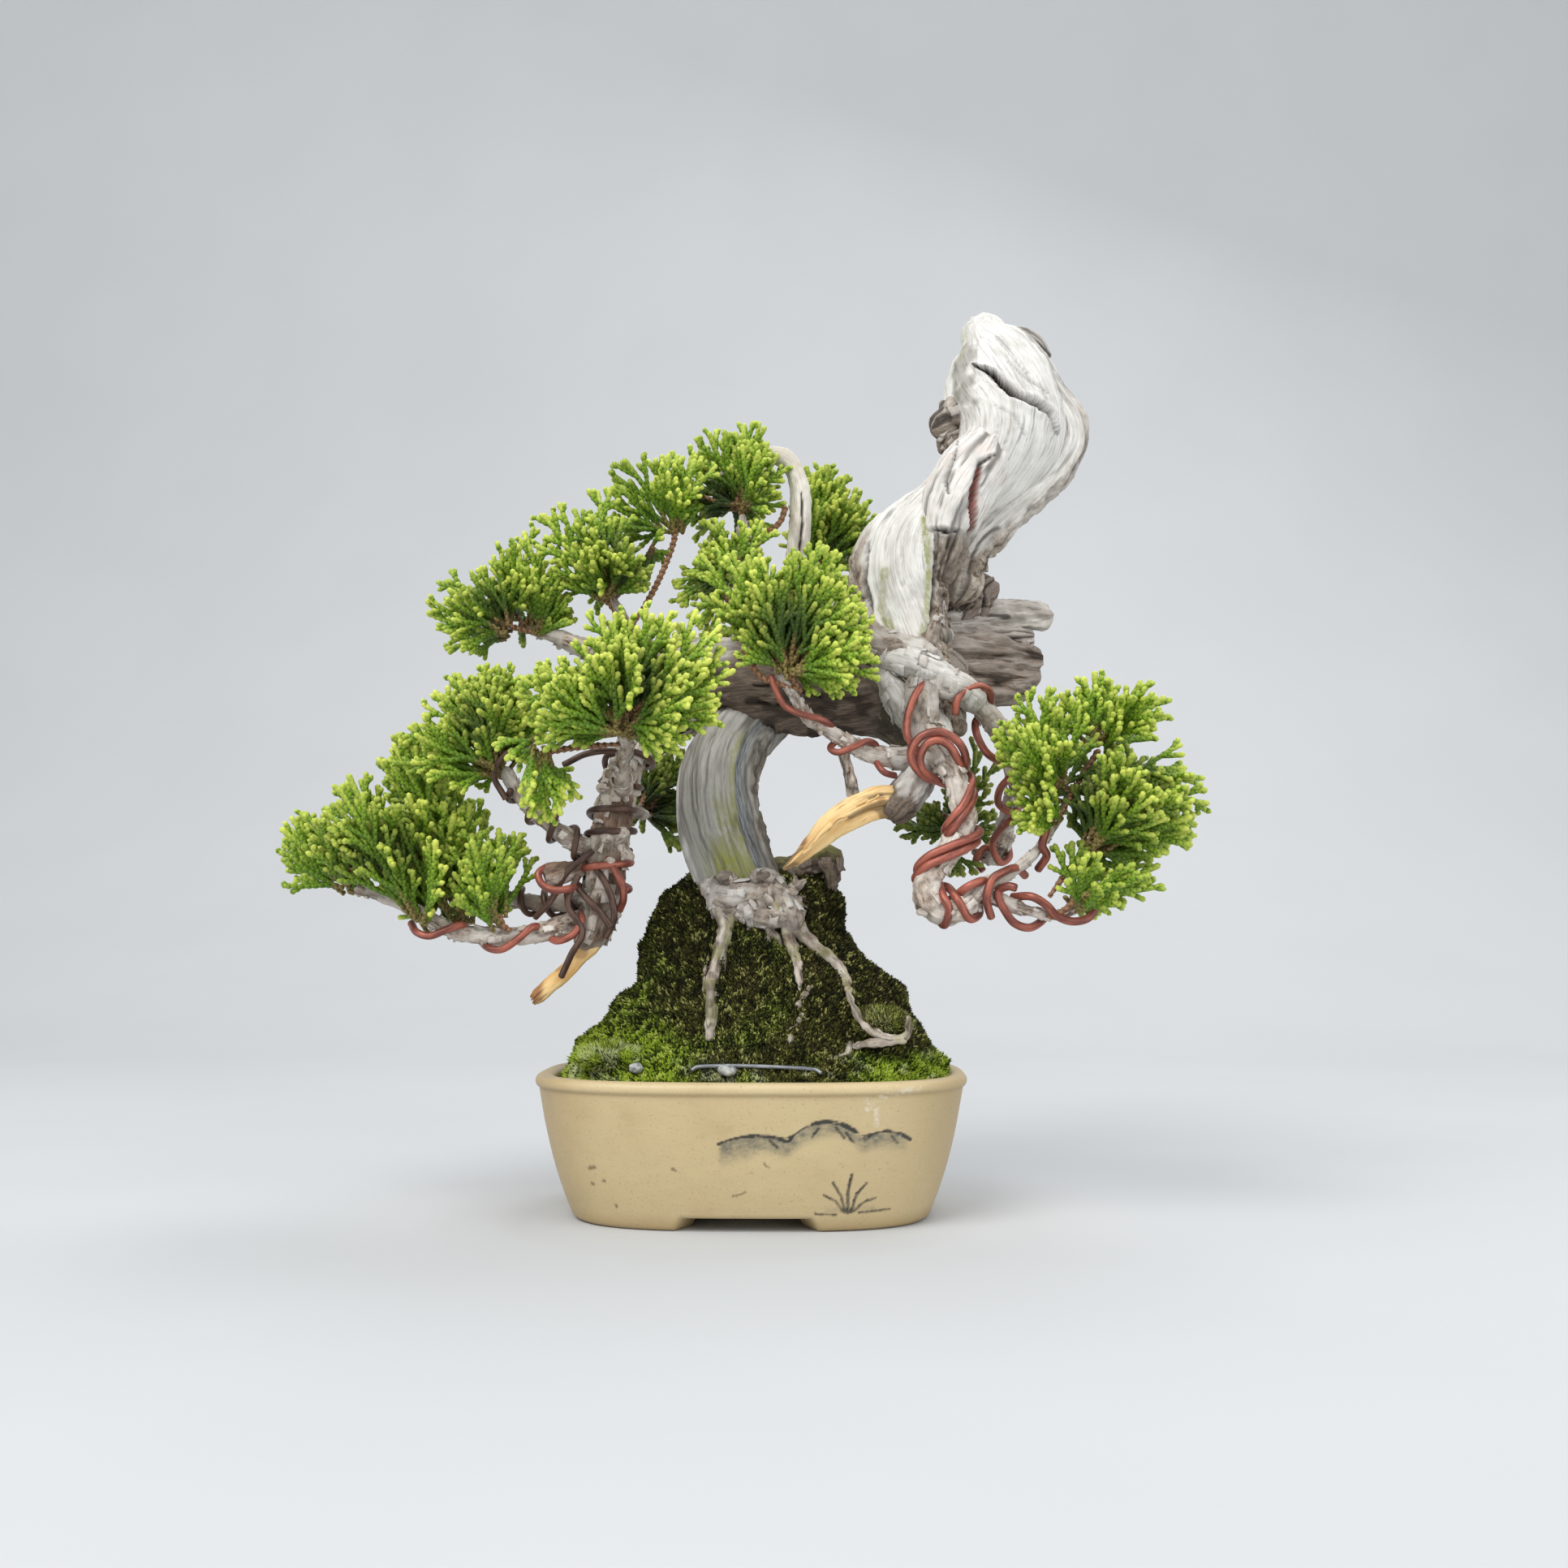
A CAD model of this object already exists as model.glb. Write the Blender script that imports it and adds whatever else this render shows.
import math
import bpy
import numpy as np
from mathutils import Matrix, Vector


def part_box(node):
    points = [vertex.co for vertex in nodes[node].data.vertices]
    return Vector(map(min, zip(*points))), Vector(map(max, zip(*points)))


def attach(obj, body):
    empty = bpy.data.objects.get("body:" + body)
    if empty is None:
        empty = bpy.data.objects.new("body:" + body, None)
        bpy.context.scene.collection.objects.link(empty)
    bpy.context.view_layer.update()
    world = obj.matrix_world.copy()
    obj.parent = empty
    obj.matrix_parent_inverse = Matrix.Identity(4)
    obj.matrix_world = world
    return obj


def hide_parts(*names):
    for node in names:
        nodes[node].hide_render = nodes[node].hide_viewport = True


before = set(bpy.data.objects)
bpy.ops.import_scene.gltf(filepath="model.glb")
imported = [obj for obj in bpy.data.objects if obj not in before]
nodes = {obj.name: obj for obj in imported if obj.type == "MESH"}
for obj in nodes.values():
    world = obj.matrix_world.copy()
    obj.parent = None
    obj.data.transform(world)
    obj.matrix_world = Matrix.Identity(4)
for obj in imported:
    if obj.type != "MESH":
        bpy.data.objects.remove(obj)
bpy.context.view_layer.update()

mm = 0.001                     # every length below is in millimetres until a mesh is made
twoPi = 2 * math.pi


# small tools for numbers and curves

def smooth(low, high, x):
    t = np.clip((x - low) / (high - low), 0, 1)
    return t * t * (3 - 2 * t)


def unit(v):
    v = np.asarray(v, float)
    return v / np.maximum(np.linalg.norm(v, axis=-1, keepdims=True), 1e-9)


def latticeValue(ix, iy, iz, seed):
    h = (ix.astype(np.uint32) * np.uint32(374761393) + iy.astype(np.uint32) * np.uint32(668265263)
         + iz.astype(np.uint32) * np.uint32(2246822519) + np.uint32(seed * 40503 + 977))
    h = (h ^ (h >> np.uint32(13))) * np.uint32(1274126177)
    h = (h ^ (h >> np.uint32(16))) * np.uint32(2654435761)
    h = h ^ (h >> np.uint32(15))
    return h.astype(float) / 2147483648.0 - 1


def noise(points, size, seed=0):
    # soft random field between -1 and 1, size millimetres to a bump; size may be three numbers
    p = np.asarray(points, float) / np.asarray(size, float)
    shape = p.shape[:-1]
    p = p.reshape(-1, 3)
    cell = np.floor(p)
    f = p - cell
    cell = cell.astype(np.int64)
    w = f * f * f * (f * (f * 6 - 15) + 10)
    total = np.zeros(len(p))
    for dx in (0, 1):
        wx = w[:, 0] if dx else 1 - w[:, 0]
        for dy in (0, 1):
            wxy = wx * (w[:, 1] if dy else 1 - w[:, 1])
            for dz in (0, 1):
                wz = w[:, 2] if dz else 1 - w[:, 2]
                total += wxy * wz * latticeValue(cell[:, 0] + dx, cell[:, 1] + dy, cell[:, 2] + dz, seed)
    return total.reshape(shape)


def rough(points, size, seed=0, octaves=3, keep=0.5):
    total, weight, whole = 0, 1.0, 0.0
    for k in range(octaves):
        total = total + weight * noise(points, np.asarray(size, float) / 2 ** k, seed + 31 * k)
        whole += weight
        weight *= keep
    return total / whole


def smoothRoute(points, step):
    # a soft curve through the points, evenly spaced; each point may carry a radius as its fourth number
    p = np.array(points, float)
    ext = np.vstack([2 * p[0] - p[1], p, 2 * p[-1] - p[-2]])
    out = []
    for i in range(len(p) - 1):
        a, b, c, d = ext[i:i + 4]
        t = np.linspace(0, 1, 24, endpoint=False)[:, None]
        out.append(0.5 * (2 * b + (c - a) * t + (2 * a - 5 * b + 4 * c - d) * t * t + (3 * b - a - 3 * c + d) * t ** 3))
    dense = np.vstack(out + [p[-1:]])
    along = np.concatenate([[0], np.cumsum(np.linalg.norm(np.diff(dense[:, :3], axis=0), axis=1))])
    at = np.linspace(0, along[-1], max(3, int(round(along[-1] / step)) + 1))
    return np.stack([np.interp(at, along, dense[:, k]) for k in range(p.shape[1])], 1)


def routeFrames(path, start=(0, 0, 1)):
    # tangent and two sides that don't spin, carried along from the first point
    tangent = unit(np.gradient(path[:, :3], axis=0))
    side = np.array(start, float)
    sides = np.empty_like(tangent)
    for i, t in enumerate(tangent):
        side = side - (side @ t) * t
        length = np.linalg.norm(side)
        side = side / length if length > 1e-6 else unit(np.cross(t, (0.3, 0.9, 0.1)))
        sides[i] = side
    return tangent, sides, np.cross(tangent, sides)


def arcLength(path):
    return np.concatenate([[0], np.cumsum(np.linalg.norm(np.diff(path[:, :3], axis=0), axis=1))])


def toLine(px, pz, line):
    # distance in the front plane from each point to a polyline, and how far along it the nearest place is
    best = np.full(px.shape, 1e9)
    where = np.zeros(px.shape)
    line = np.array(line, float)
    for i in range(len(line) - 1):
        (ax, az), (bx, bz) = line[i][:2], line[i + 1][:2]
        dx, dz = bx - ax, bz - az
        t = np.clip(((px - ax) * dx + (pz - az) * dz) / max(dx * dx + dz * dz, 1e-9), 0, 1)
        d = np.hypot(px - ax - t * dx, pz - az - t * dz)
        near = d < best
        best = np.where(near, d, best)
        where = np.where(near, (i + t) / (len(line) - 1), where)
    return best, where


# meshes from arrays

def gridFaces(rings, sides, closed=True, offset=0):
    i = np.arange(rings - 1)[:, None] * sides
    j = np.arange(sides if closed else sides - 1)[None, :]
    k = (j + 1) % sides
    return np.stack([i + j, i + k, i + sides + k, i + sides + j], -1).reshape(-1, 4) + offset


def closedGrid(grid, hubs=None):
    # a tube of rings closed by a middle point at each end: its points, quads and triangles
    rings, sides = grid.shape[:2]
    j = np.arange(sides)
    k = (j + 1) % sides
    last, hub = (rings - 1) * sides, rings * sides
    hubs = [grid[0].mean(0), grid[-1].mean(0)] if hubs is None else hubs
    tris = [np.stack([k, j, np.full(sides, hub)], -1), np.stack([last + j, last + k, np.full(sides, hub + 1)], -1)]
    return np.concatenate([grid.reshape(-1, 3), hubs]), gridFaces(rings, sides), np.concatenate(tris)


def ballGrid(rows, sides):
    # rings of a unit ball from its foot to its top
    v, u = np.meshgrid(np.linspace(0.98, 0.02, rows) * math.pi, np.arange(sides) / sides * twoPi, indexing="ij")
    return np.stack([np.sin(v) * np.cos(u), np.sin(v) * np.sin(u), np.cos(v)], -1)


class Shape:
    # gathers vertices, faces and per-vertex values, and turns them into one object
    def __init__(self):
        self.points, self.quads, self.tris, self.values, self.count = [], [], [], {}, 0

    def add(self, points, quads=None, tris=None, **values):
        points = np.asarray(points, float).reshape(-1, 3)
        if quads is not None and len(quads):
            self.quads.append(np.asarray(quads) + self.count)
        if tris is not None and len(tris):
            self.tris.append(np.asarray(tris) + self.count)
        for key, value in values.items():
            value = np.asarray(value, float)
            self.values.setdefault(key, []).append(value.reshape(len(points), -1))
        self.points.append(points)
        self.count += len(points)

    def make(self, name, material, replaces, slot):
        points = np.concatenate(self.points)
        quads = np.concatenate(self.quads) if self.quads else np.zeros((0, 4), int)
        tris = np.concatenate(self.tris) if self.tris else np.zeros((0, 3), int)
        mesh = bpy.data.meshes.new(name)
        mesh.vertices.add(len(points))
        mesh.vertices.foreach_set("co", (points * mm).astype(np.float32).ravel())
        loops = np.concatenate([quads.ravel(), tris.ravel()]).astype(np.int32)
        mesh.loops.add(len(loops))
        mesh.loops.foreach_set("vertex_index", loops)
        starts = np.concatenate([np.arange(len(quads)) * 4, len(quads) * 4 + np.arange(len(tris)) * 3])
        mesh.polygons.add(len(starts))
        mesh.polygons.foreach_set("loop_start", starts.astype(np.int32))
        mesh.update(calc_edges=True)
        mesh.polygons.foreach_set("use_smooth", np.ones(len(starts), bool))
        for key, parts in self.values.items():
            data = np.concatenate(parts).astype(np.float32)
            if key == "layout":
                layer = mesh.uv_layers.new(name="OFBake")
                layer.data.foreach_set("uv", data[loops].ravel())
            elif data.shape[1] == 1:
                mesh.attributes.new(key, "FLOAT", "POINT").data.foreach_set("value", data.ravel())
            elif data.shape[1] == 3:
                mesh.attributes.new(key, "FLOAT_VECTOR", "POINT").data.foreach_set("vector", data.ravel())
            else:
                mesh.attributes.new(key, "FLOAT_COLOR", "POINT").data.foreach_set("color", data.ravel())
        mesh.validate()
        piece = bpy.data.objects.new(name, mesh)
        bpy.context.scene.collection.objects.link(piece)
        mesh.materials.append(material)
        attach(piece, "root")
        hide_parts(replaces)
        print("  ", name, len(quads) * 2 + len(tris), "triangles")


# shader maths

def tint(r, g, b):
    # a colour as picked on screen, 0 to 255, turned linear
    lin = [(c / 255 / 12.92) if c <= 10 else ((c / 255 + 0.055) / 1.055) ** 2.4 for c in (r, g, b)]
    return (*lin, 1.0)


class Link:
    def __init__(self, finish, socket):
        self.finish, self.socket = finish, socket

    def maths(self, operation, *values, clamp=False):
        return self.finish.node("ShaderNodeMath", {"operation": operation, "use_clamp": clamp}, dict(enumerate(values)))

    def __add__(self, other):
        return self.maths("ADD", self, other)

    __radd__ = __add__

    def __sub__(self, other):
        return self.maths("SUBTRACT", self, other)

    def __rsub__(self, other):
        return self.maths("SUBTRACT", other, self)

    def __mul__(self, other):
        return self.maths("MULTIPLY", self, other)

    __rmul__ = __mul__

    def held(self):
        return self.maths("ADD", self, 0.0, clamp=True)

    def between(self, low, high):
        # 0 below low, 1 above high, soft in between
        settings = {"interpolation_type": "SMOOTHSTEP"}
        return self.finish.node("ShaderNodeMapRange", settings, {"Value": self, "From Min": low, "From Max": high})


class Finish:
    def __init__(self, name, **constants):
        self.material = bpy.data.materials.new(name)
        self.material.use_nodes = True
        self.tree = self.material.node_tree
        self.tree.nodes.clear()
        self.shader = self.tree.nodes.new("ShaderNodeBsdfPrincipled")
        end = self.tree.nodes.new("ShaderNodeOutputMaterial")
        self.tree.links.new(self.shader.outputs[0], end.inputs["Surface"])
        for key, value in constants.items():
            self.shader.inputs[key.replace("_", " ")].default_value = value

    def node(self, kind, settings=None, values=None, out=0):
        made = self.tree.nodes.new(kind)
        for key, value in (settings or {}).items():
            setattr(made, key, value)
        for key, value in (values or {}).items():
            if isinstance(value, Link):
                self.tree.links.new(value.socket, made.inputs[key])
            else:
                made.inputs[key].default_value = value
        return Link(self, made.outputs[out])

    def feed(self, socket, link):
        self.tree.links.new(link.socket, self.shader.inputs[socket])

    def value(self, name):
        return self.node("ShaderNodeAttribute", {"attribute_name": name}, out="Fac")

    def channels(self, name):
        # red, green, blue and alpha of a stored colour
        colour = self.node("ShaderNodeAttribute", {"attribute_name": name}, out="Color")
        parts = [self.node("ShaderNodeSeparateColor", None, {0: colour}, out=which) for which in ("Red", "Green", "Blue")]
        return parts + [self.node("ShaderNodeAttribute", {"attribute_name": name}, out="Alpha")]

    def place(self, name, scale=(1, 1, 1)):
        # a vector attribute, stretched
        start = self.node("ShaderNodeAttribute", {"attribute_name": name}, out="Vector")
        return self.node("ShaderNodeVectorMath", {"operation": "MULTIPLY"}, {0: start, 1: scale})

    def body(self, scale=(1, 1, 1)):
        # places on the object itself, in millimetres, stretched
        start = self.node("ShaderNodeTexCoord", out="Object")
        return self.node("ShaderNodeVectorMath", {"operation": "MULTIPLY"}, {0: start, 1: [1000 * s for s in scale]})

    def cloud(self, where, scale, detail=3.0, roughness=0.55, out="Fac"):
        values = {"Vector": where, "Scale": scale, "Detail": detail, "Roughness": roughness}
        return self.node("ShaderNodeTexNoise", None, values, out=out)

    def mix(self, a, b, factor, how="MIX"):
        settings = {"data_type": "RGBA", "blend_type": how}
        return self.node("ShaderNodeMix", settings, {0: factor, 6: a, 7: b}, out=2)

    def bump(self, height, distance, strength=1.0, under=None):
        values = {"Height": height, "Distance": distance * mm, "Strength": strength}
        if under is not None:
            values["Normal"] = under
        return self.node("ShaderNodeBump", None, values)


# camera, light and floor

view = {"place": (0.014, -0.301, 0.0515), "up": 5.43, "left": 1.54, "lens": 36.04}
studio = {"world": 0.86, "key": 5.6, "fill": 1.7, "back": 2.6, "paper": (197, 199, 201)}

camera = bpy.data.objects.new("camera", bpy.data.cameras.new("camera"))
bpy.context.scene.collection.objects.link(camera)
camera.location = view["place"]
camera.rotation_euler = (math.radians(90 + view["up"]), 0, math.radians(view["left"]))
camera.data.sensor_width = 36
camera.data.lens = view["lens"]
camera.data.clip_start = 0.01
bpy.context.scene.camera = camera
bpy.context.scene.view_settings.view_transform = "Standard"

world = bpy.data.worlds.new("pale_room")
bpy.context.scene.world = world
world.use_nodes = True
world.node_tree.nodes["Background"].inputs[0].default_value = tint(244, 246, 248)
world.node_tree.nodes["Background"].inputs[1].default_value = studio["world"]


def softLight(name, place, aim, size, power, colour=(1, 1, 1)):
    lamp = bpy.data.lights.new(name, "AREA")
    lamp.shape, lamp.size, lamp.energy, lamp.color = "DISK", size, power, colour
    holder = bpy.data.objects.new(name, lamp)
    bpy.context.scene.collection.objects.link(holder)
    holder.location = place
    d = unit(np.array(aim) - np.array(place))
    holder.rotation_euler = (math.acos(-d[2]), 0, math.atan2(d[0], -d[1]) + math.pi)


softLight("key_light", (-0.35, -0.55, 0.75), (0, 0, 0.09), 0.6, studio["key"], (1, 0.985, 0.96))
softLight("fill_light", (0.6, -0.45, 0.35), (0, 0, 0.09), 0.7, studio["fill"], (0.96, 0.98, 1))
softLight("top_light", (0.25, 0.35, 0.8), (0, 0, 0.09), 0.6, studio["back"], (1, 1, 1))


def makePaper():
    # floor that sweeps up into a wall behind
    profile = [(-1.2, 0.0), (0.35, 0.0)]
    for k in range(1, 25):
        a = k / 24 * math.pi / 2
        profile.append((0.35 + 0.45 * math.sin(a), 0.45 - 0.45 * math.cos(a)))
    profile.append((0.8, 2.2))
    across = np.linspace(-2.2, 2.2, 12)
    points = [(x, y, z) for y, z in profile for x in across]
    mesh = bpy.data.meshes.new("paper_sweep")
    mesh.from_pydata(points, [], [tuple(map(int, q)) for q in gridFaces(len(profile), 12, closed=False)])
    mesh.polygons.foreach_set("use_smooth", [True] * len(mesh.polygons))
    sweep = bpy.data.objects.new("paper_sweep", mesh)
    bpy.context.scene.collection.objects.link(sweep)
    paper = Finish("pale_paper", Roughness=0.9, Specular_IOR_Level=0.1)
    mottle = paper.cloud(paper.body((0.01, 0.01, 0.01)), 1.0, 2.0)
    light, dark = tint(*studio["paper"]), tint(*[c - 2 for c in studio["paper"]])
    paper.feed("Base Color", paper.mix(dark, light, mottle.between(0.3, 0.7)))
    mesh.materials.append(paper.material)


makePaper()
print("camera, light and paper ready")


# the oval pot

potForm = {
    "halfLength": 40.0, "halfDepth": 30.0, "height": 26.0, "tuck": 7.0, "squareness": 3.0,
    "notchTop": 10.75, "notchFoot": 12.75, "notchHeight": 2.3, "floorTop": 6.0, "floorUnder": 2.6,
    "clay": (199, 179, 137), "clayDeep": (172, 148, 106), "clayPale": (212, 193, 152), "ink": (26, 30, 36),
}
# a plain generic brush drawing: three rounded hills over a clump of reeds and two water lines
hills = [(2.0, 8.5, 2.4), (14.0, 8.2, 4.8), (24.0, 6.0, 2.9)]  # middle, half width, height
ridgeLine = [(x, 14.6 + max(high * max(0, 1 - ((x - middle) / wide) ** 2) for middle, wide, high in hills))
             for x in np.arange(-4.6, 28.7, 0.6)]
brushStrokes = [
    ([(17.0, 3.6), (16.4, 6.4), (15.0, 8.9)], 0.2), ([(17.5, 3.5), (17.6, 7.2), (18.3, 10.2)], 0.22),
    ([(18.1, 3.6), (19.0, 6.6), (20.8, 8.6)], 0.2), ([(16.6, 3.8), (15.4, 5.6), (13.4, 6.7)], 0.16),
    ([(18.5, 3.7), (20.2, 5.2), (22.4, 5.9)], 0.16), ([(12.0, 3.3), (15.6, 3.1)], 0.14), ([(19.6, 3.4), (25.0, 3.7)], 0.14),
    ([(15.6, 18.3), (17.0, 16.6)], 0.2), ([(17.4, 17.3), (18.6, 15.8)], 0.18), ([(4.2, 16.2), (5.6, 15.0)], 0.18),
    ([(25.2, 16.6), (26.2, 15.4)], 0.16), ([(12.6, 18.2), (11.4, 16.8)], 0.16),
]
washes = [([(14.0, 3.9), (22.0, 4.1)], 0.8, 0.3)]
dirtMarks = [([(-27.6, 10.6), (-26.6, 10.9)], 0.3), ([(-24.9, 8.6), (-24.7, 8.5)], 0.32), ([(-27.2, 7.9), (-26.9, 7.9)], 0.24),
             ([(-22.8, 4.4), (-22.6, 4.0)], 0.22), ([(-12.6, 11.2), (-12.1, 11.0)], 0.22), ([(-2.2, 6.4), (0.0, 7.2)], 0.12),
             ([(3.2, 12.2), (3.9, 11.6)], 0.14)]
scuffs = [([(22.4, 22.6), (22.7, 18.6)], 0.3), ([(21.0, 23.0), (21.2, 21.4)], 0.34), ([(23.4, 23.6), (30.0, 24.8)], 0.34),
          ([(26.6, 16.6), (26.7, 15.2)], 0.12)]


def ovalPoint(halfLength, halfDepth, squareness, angle):
    c, s = np.cos(angle), np.sin(angle)
    reach = (np.abs(c / halfLength) ** squareness + np.abs(s / halfDepth) ** squareness) ** (-1 / squareness)
    return reach * c, reach * s


def wallInset(z):
    fall = 1 - z / potForm["height"]
    return potForm["tuck"] * (0.62 * fall + 0.38 * fall ** 3)


def makePot():
    g = potForm
    # columns stand close together along the front, where the drawing is
    fine, coarse = np.radians(np.linspace(211, 329, 420)), np.radians(np.linspace(329, 571, 210))
    angle = np.concatenate([fine, coarse[1:-1]])
    outerZ = np.concatenate([[0, 0.12, 0.4, 0.8], np.arange(1.2, 23.9, 0.25)])
    rows = [(30.0, 2.6, 1), (14.3, 2.6, 1), (13.9, 2.3, 2), (13.5, 0.2, 2), (13.3, 0.0, 2), (8.8, 0.0, 2)]
    for z in outerZ:
        rows.append((wallInset(z) + 0.26 + (1.0 if z == 0 else 0.5 if z < 0.2 else 0.12 if z < 0.5 else 0), z, 2))
    rows += [(0.27, 23.95, 0), (0.19, 24.08, 0), (0.07, 24.25, 0), (0.01, 24.5, 0), (0.0, 24.8, 0), (0.05, 25.1, 0),
             (0.2, 25.4, 0), (0.48, 25.68, 0), (0.9, 25.88, 0), (1.5, 25.98, 0), (2.1, 25.98, 0), (2.7, 25.86, 0),
             (3.2, 25.6, 0), (3.5, 25.2, 0), (3.62, 24.6, 0), (4.6, 20.0, 0), (7.0, 12.0, 0), (9.0, 7.6, 0),
             (12.6, 6.0, 0), (30.0, 6.0, 0)]
    x0, y0 = ovalPoint(g["halfLength"], g["halfDepth"], g["squareness"], angle)
    baseX = x0 * (1 - wallInset(0) / g["halfLength"])
    notch = smooth(g["notchFoot"] + 0.9, g["notchTop"] + 0.4, np.abs(baseX)) * (np.abs(y0) > 15)
    rings = []
    for inset, z, part in rows:
        lift = notch * g["notchHeight"]
        if part == 2 and z < 12:
            z2 = lift + z * (12 - lift) / 12
            inset = inset + (wallInset(z2) - wallInset(z) if inset < 8.7 and z > 0 else 0)
        else:
            z2 = np.full(len(angle), z)
        x, y = ovalPoint(g["halfLength"] - inset, g["halfDepth"] - inset * 0.86, g["squareness"], angle)
        rings.append(np.stack([x, y, z2 * np.ones(len(angle))], -1))
    grid = np.array(rings)
    push = rough(grid, 9.0, 5, 2)[..., None] * 0.1 + rough(grid, 2.2, 9, 2)[..., None] * 0.02
    outward = unit(grid * (1, 1.3, 0))
    body = ((grid[..., 2] > 0.3) & (grid[..., 2] < 25.5))[..., None]
    grid = grid + outward * push * body
    px, pz = grid[..., 0], grid[..., 2]
    front = (grid[..., 1] < -14) & (np.arange(len(rows))[:, None] > 5) & (np.arange(len(rows))[:, None] < len(rows) - 8)
    grain = noise(grid, (0.9, 3, 0.35), 3)
    dry = noise(grid, (0.3, 3, 0.22), 8)
    d, where = toLine(px, pz, ridgeLine)
    swell = 0.15 + 0.17 * (noise(np.stack([where * 60, where * 0, where * 0], -1), 2.2, 4) + 0.6)
    ink = smooth(swell + 0.13, swell - 0.04, d) * smooth(-1.05, -0.35, grain + 0.3 * dry)
    for line, width in brushStrokes:
        d, where = toLine(px + 0.12 * grain, pz + 0.1 * dry, line)
        ink = np.maximum(ink, smooth(width * 1.35 + 0.14, width * 1.2 - 0.06, d + where * 0.06) * (0.85 + 0.25 * grain))
    ridgeX, ridgeZ = np.array(ridgeLine).T
    under = np.interp(px, ridgeX, ridgeZ) - pz
    depth = 3.9 + 1.8 * noise(grid, (3.5, 9, 9), 12)
    wash = smooth(-0.15, 0.25, under) * smooth(depth, depth * 0.25, under) * smooth(-4.9, -3.8, px) * smooth(28.4, 26.5, px)
    wash = wash * (0.66 + 0.3 * grain + 0.2 * dry)
    for line, width, amount in washes:
        d, _ = toLine(px, pz, line)
        wash = np.maximum(wash, amount * smooth(width, 0, d) * (0.8 + 0.4 * grain))
    dirt, scuff = np.zeros(px.shape), np.zeros(px.shape)
    for line, width in dirtMarks:
        d, _ = toLine(px + 0.2 * grain, pz + 0.2 * dry, line)
        dirt = np.maximum(dirt, smooth(width + 0.15, width - 0.1, d))
    for line, width in scuffs:
        d, _ = toLine(px + 0.25 * grain, pz + 0.1 * dry, line)
        scuff = np.maximum(scuff, smooth(width + 0.5, width - 0.3, d) * smooth(-0.5, 0.6, grain + dry))
    marks = np.stack([ink * front, wash * front, dirt * front, scuff * front], -1)
    pot = Shape()
    # the floor closes in the middle; the two meshes lie where the drains are
    marks = np.concatenate([marks.reshape(-1, 4), np.zeros((2, 4))])
    pot.add(*closedGrid(grid, [[0, 0, g["floorUnder"]], [0, 0, g["floorTop"]]]), marks=marks)
    clay = Finish("buff_clay_glaze", Specular_IOR_Level=0.45, Coat_Roughness=0.35)
    here = clay.body()
    cloudy = clay.cloud(clay.body((0.09, 0.09, 0.12)), 1.0, 3.0)
    speck = clay.cloud(here, 2.6, 2.0, 0.6)
    fleck = clay.cloud(here, 0.9, 3.0, 0.7)
    height = clay.node("ShaderNodeSeparateXYZ", None, {0: here}, out="Z")
    colour = clay.mix(tint(*g["clayDeep"]), tint(*g["clay"]), cloudy.between(0.0, 0.5) * 0.75 + 0.25)
    colour = clay.mix(colour, tint(*g["clayPale"]), (cloudy.between(0.5, 0.8) * 0.4).held())
    colour = clay.mix(colour, tint(*g["clayPale"]), height.between(23.0, 25.6) * 0.45)
    seam = height.between(22.8, 23.8) * (1 - height.between(23.9, 24.5))
    colour = clay.mix(colour, tint(*g["clayDeep"]), seam * 0.4)
    across = clay.node("ShaderNodeSeparateXYZ", None, {0: here}, out="X")
    ends = (across * across).between(500.0, 1500.0)  # the glaze browns towards both ends
    colour = clay.mix(colour, tint(150, 124, 80), ends * 0.55)
    colour = clay.mix(colour, tint(150, 122, 76), speck.between(0.6, 0.74) * 0.55)
    colour = clay.mix(colour, tint(120, 96, 62), fleck.between(0.66, 0.76) * 0.5)
    colour = clay.mix(colour, tint(154, 126, 78), (1 - height.between(0.0, 3.4)) * 0.5)
    inked, washed, dirty, scuffed = clay.channels("marks")
    colour = clay.mix(colour, tint(104, 104, 92), washed * 1.0)
    colour = clay.mix(colour, tint(*g["ink"]), inked * 0.93)
    colour = clay.mix(colour, tint(96, 82, 50), dirty * 0.7)
    colour = clay.mix(colour, tint(232, 226, 212), scuffed * 0.5)
    clay.feed("Base Color", colour)
    clay.feed("Roughness", speck * 0.12 + cloudy * 0.16 + 0.3)
    ripple = clay.cloud(clay.body((0.35, 0.35, 0.5)), 1.0, 3.0)
    under = clay.bump(ripple, 0.25, 0.35)
    clay.feed("Normal", clay.bump(clay.cloud(here, 2.2, 3.0, 0.6), 0.06, 0.4, under))
    pot.make("pot_clay", clay.material, "pot", "pot_glaze")


makePot()


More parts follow.
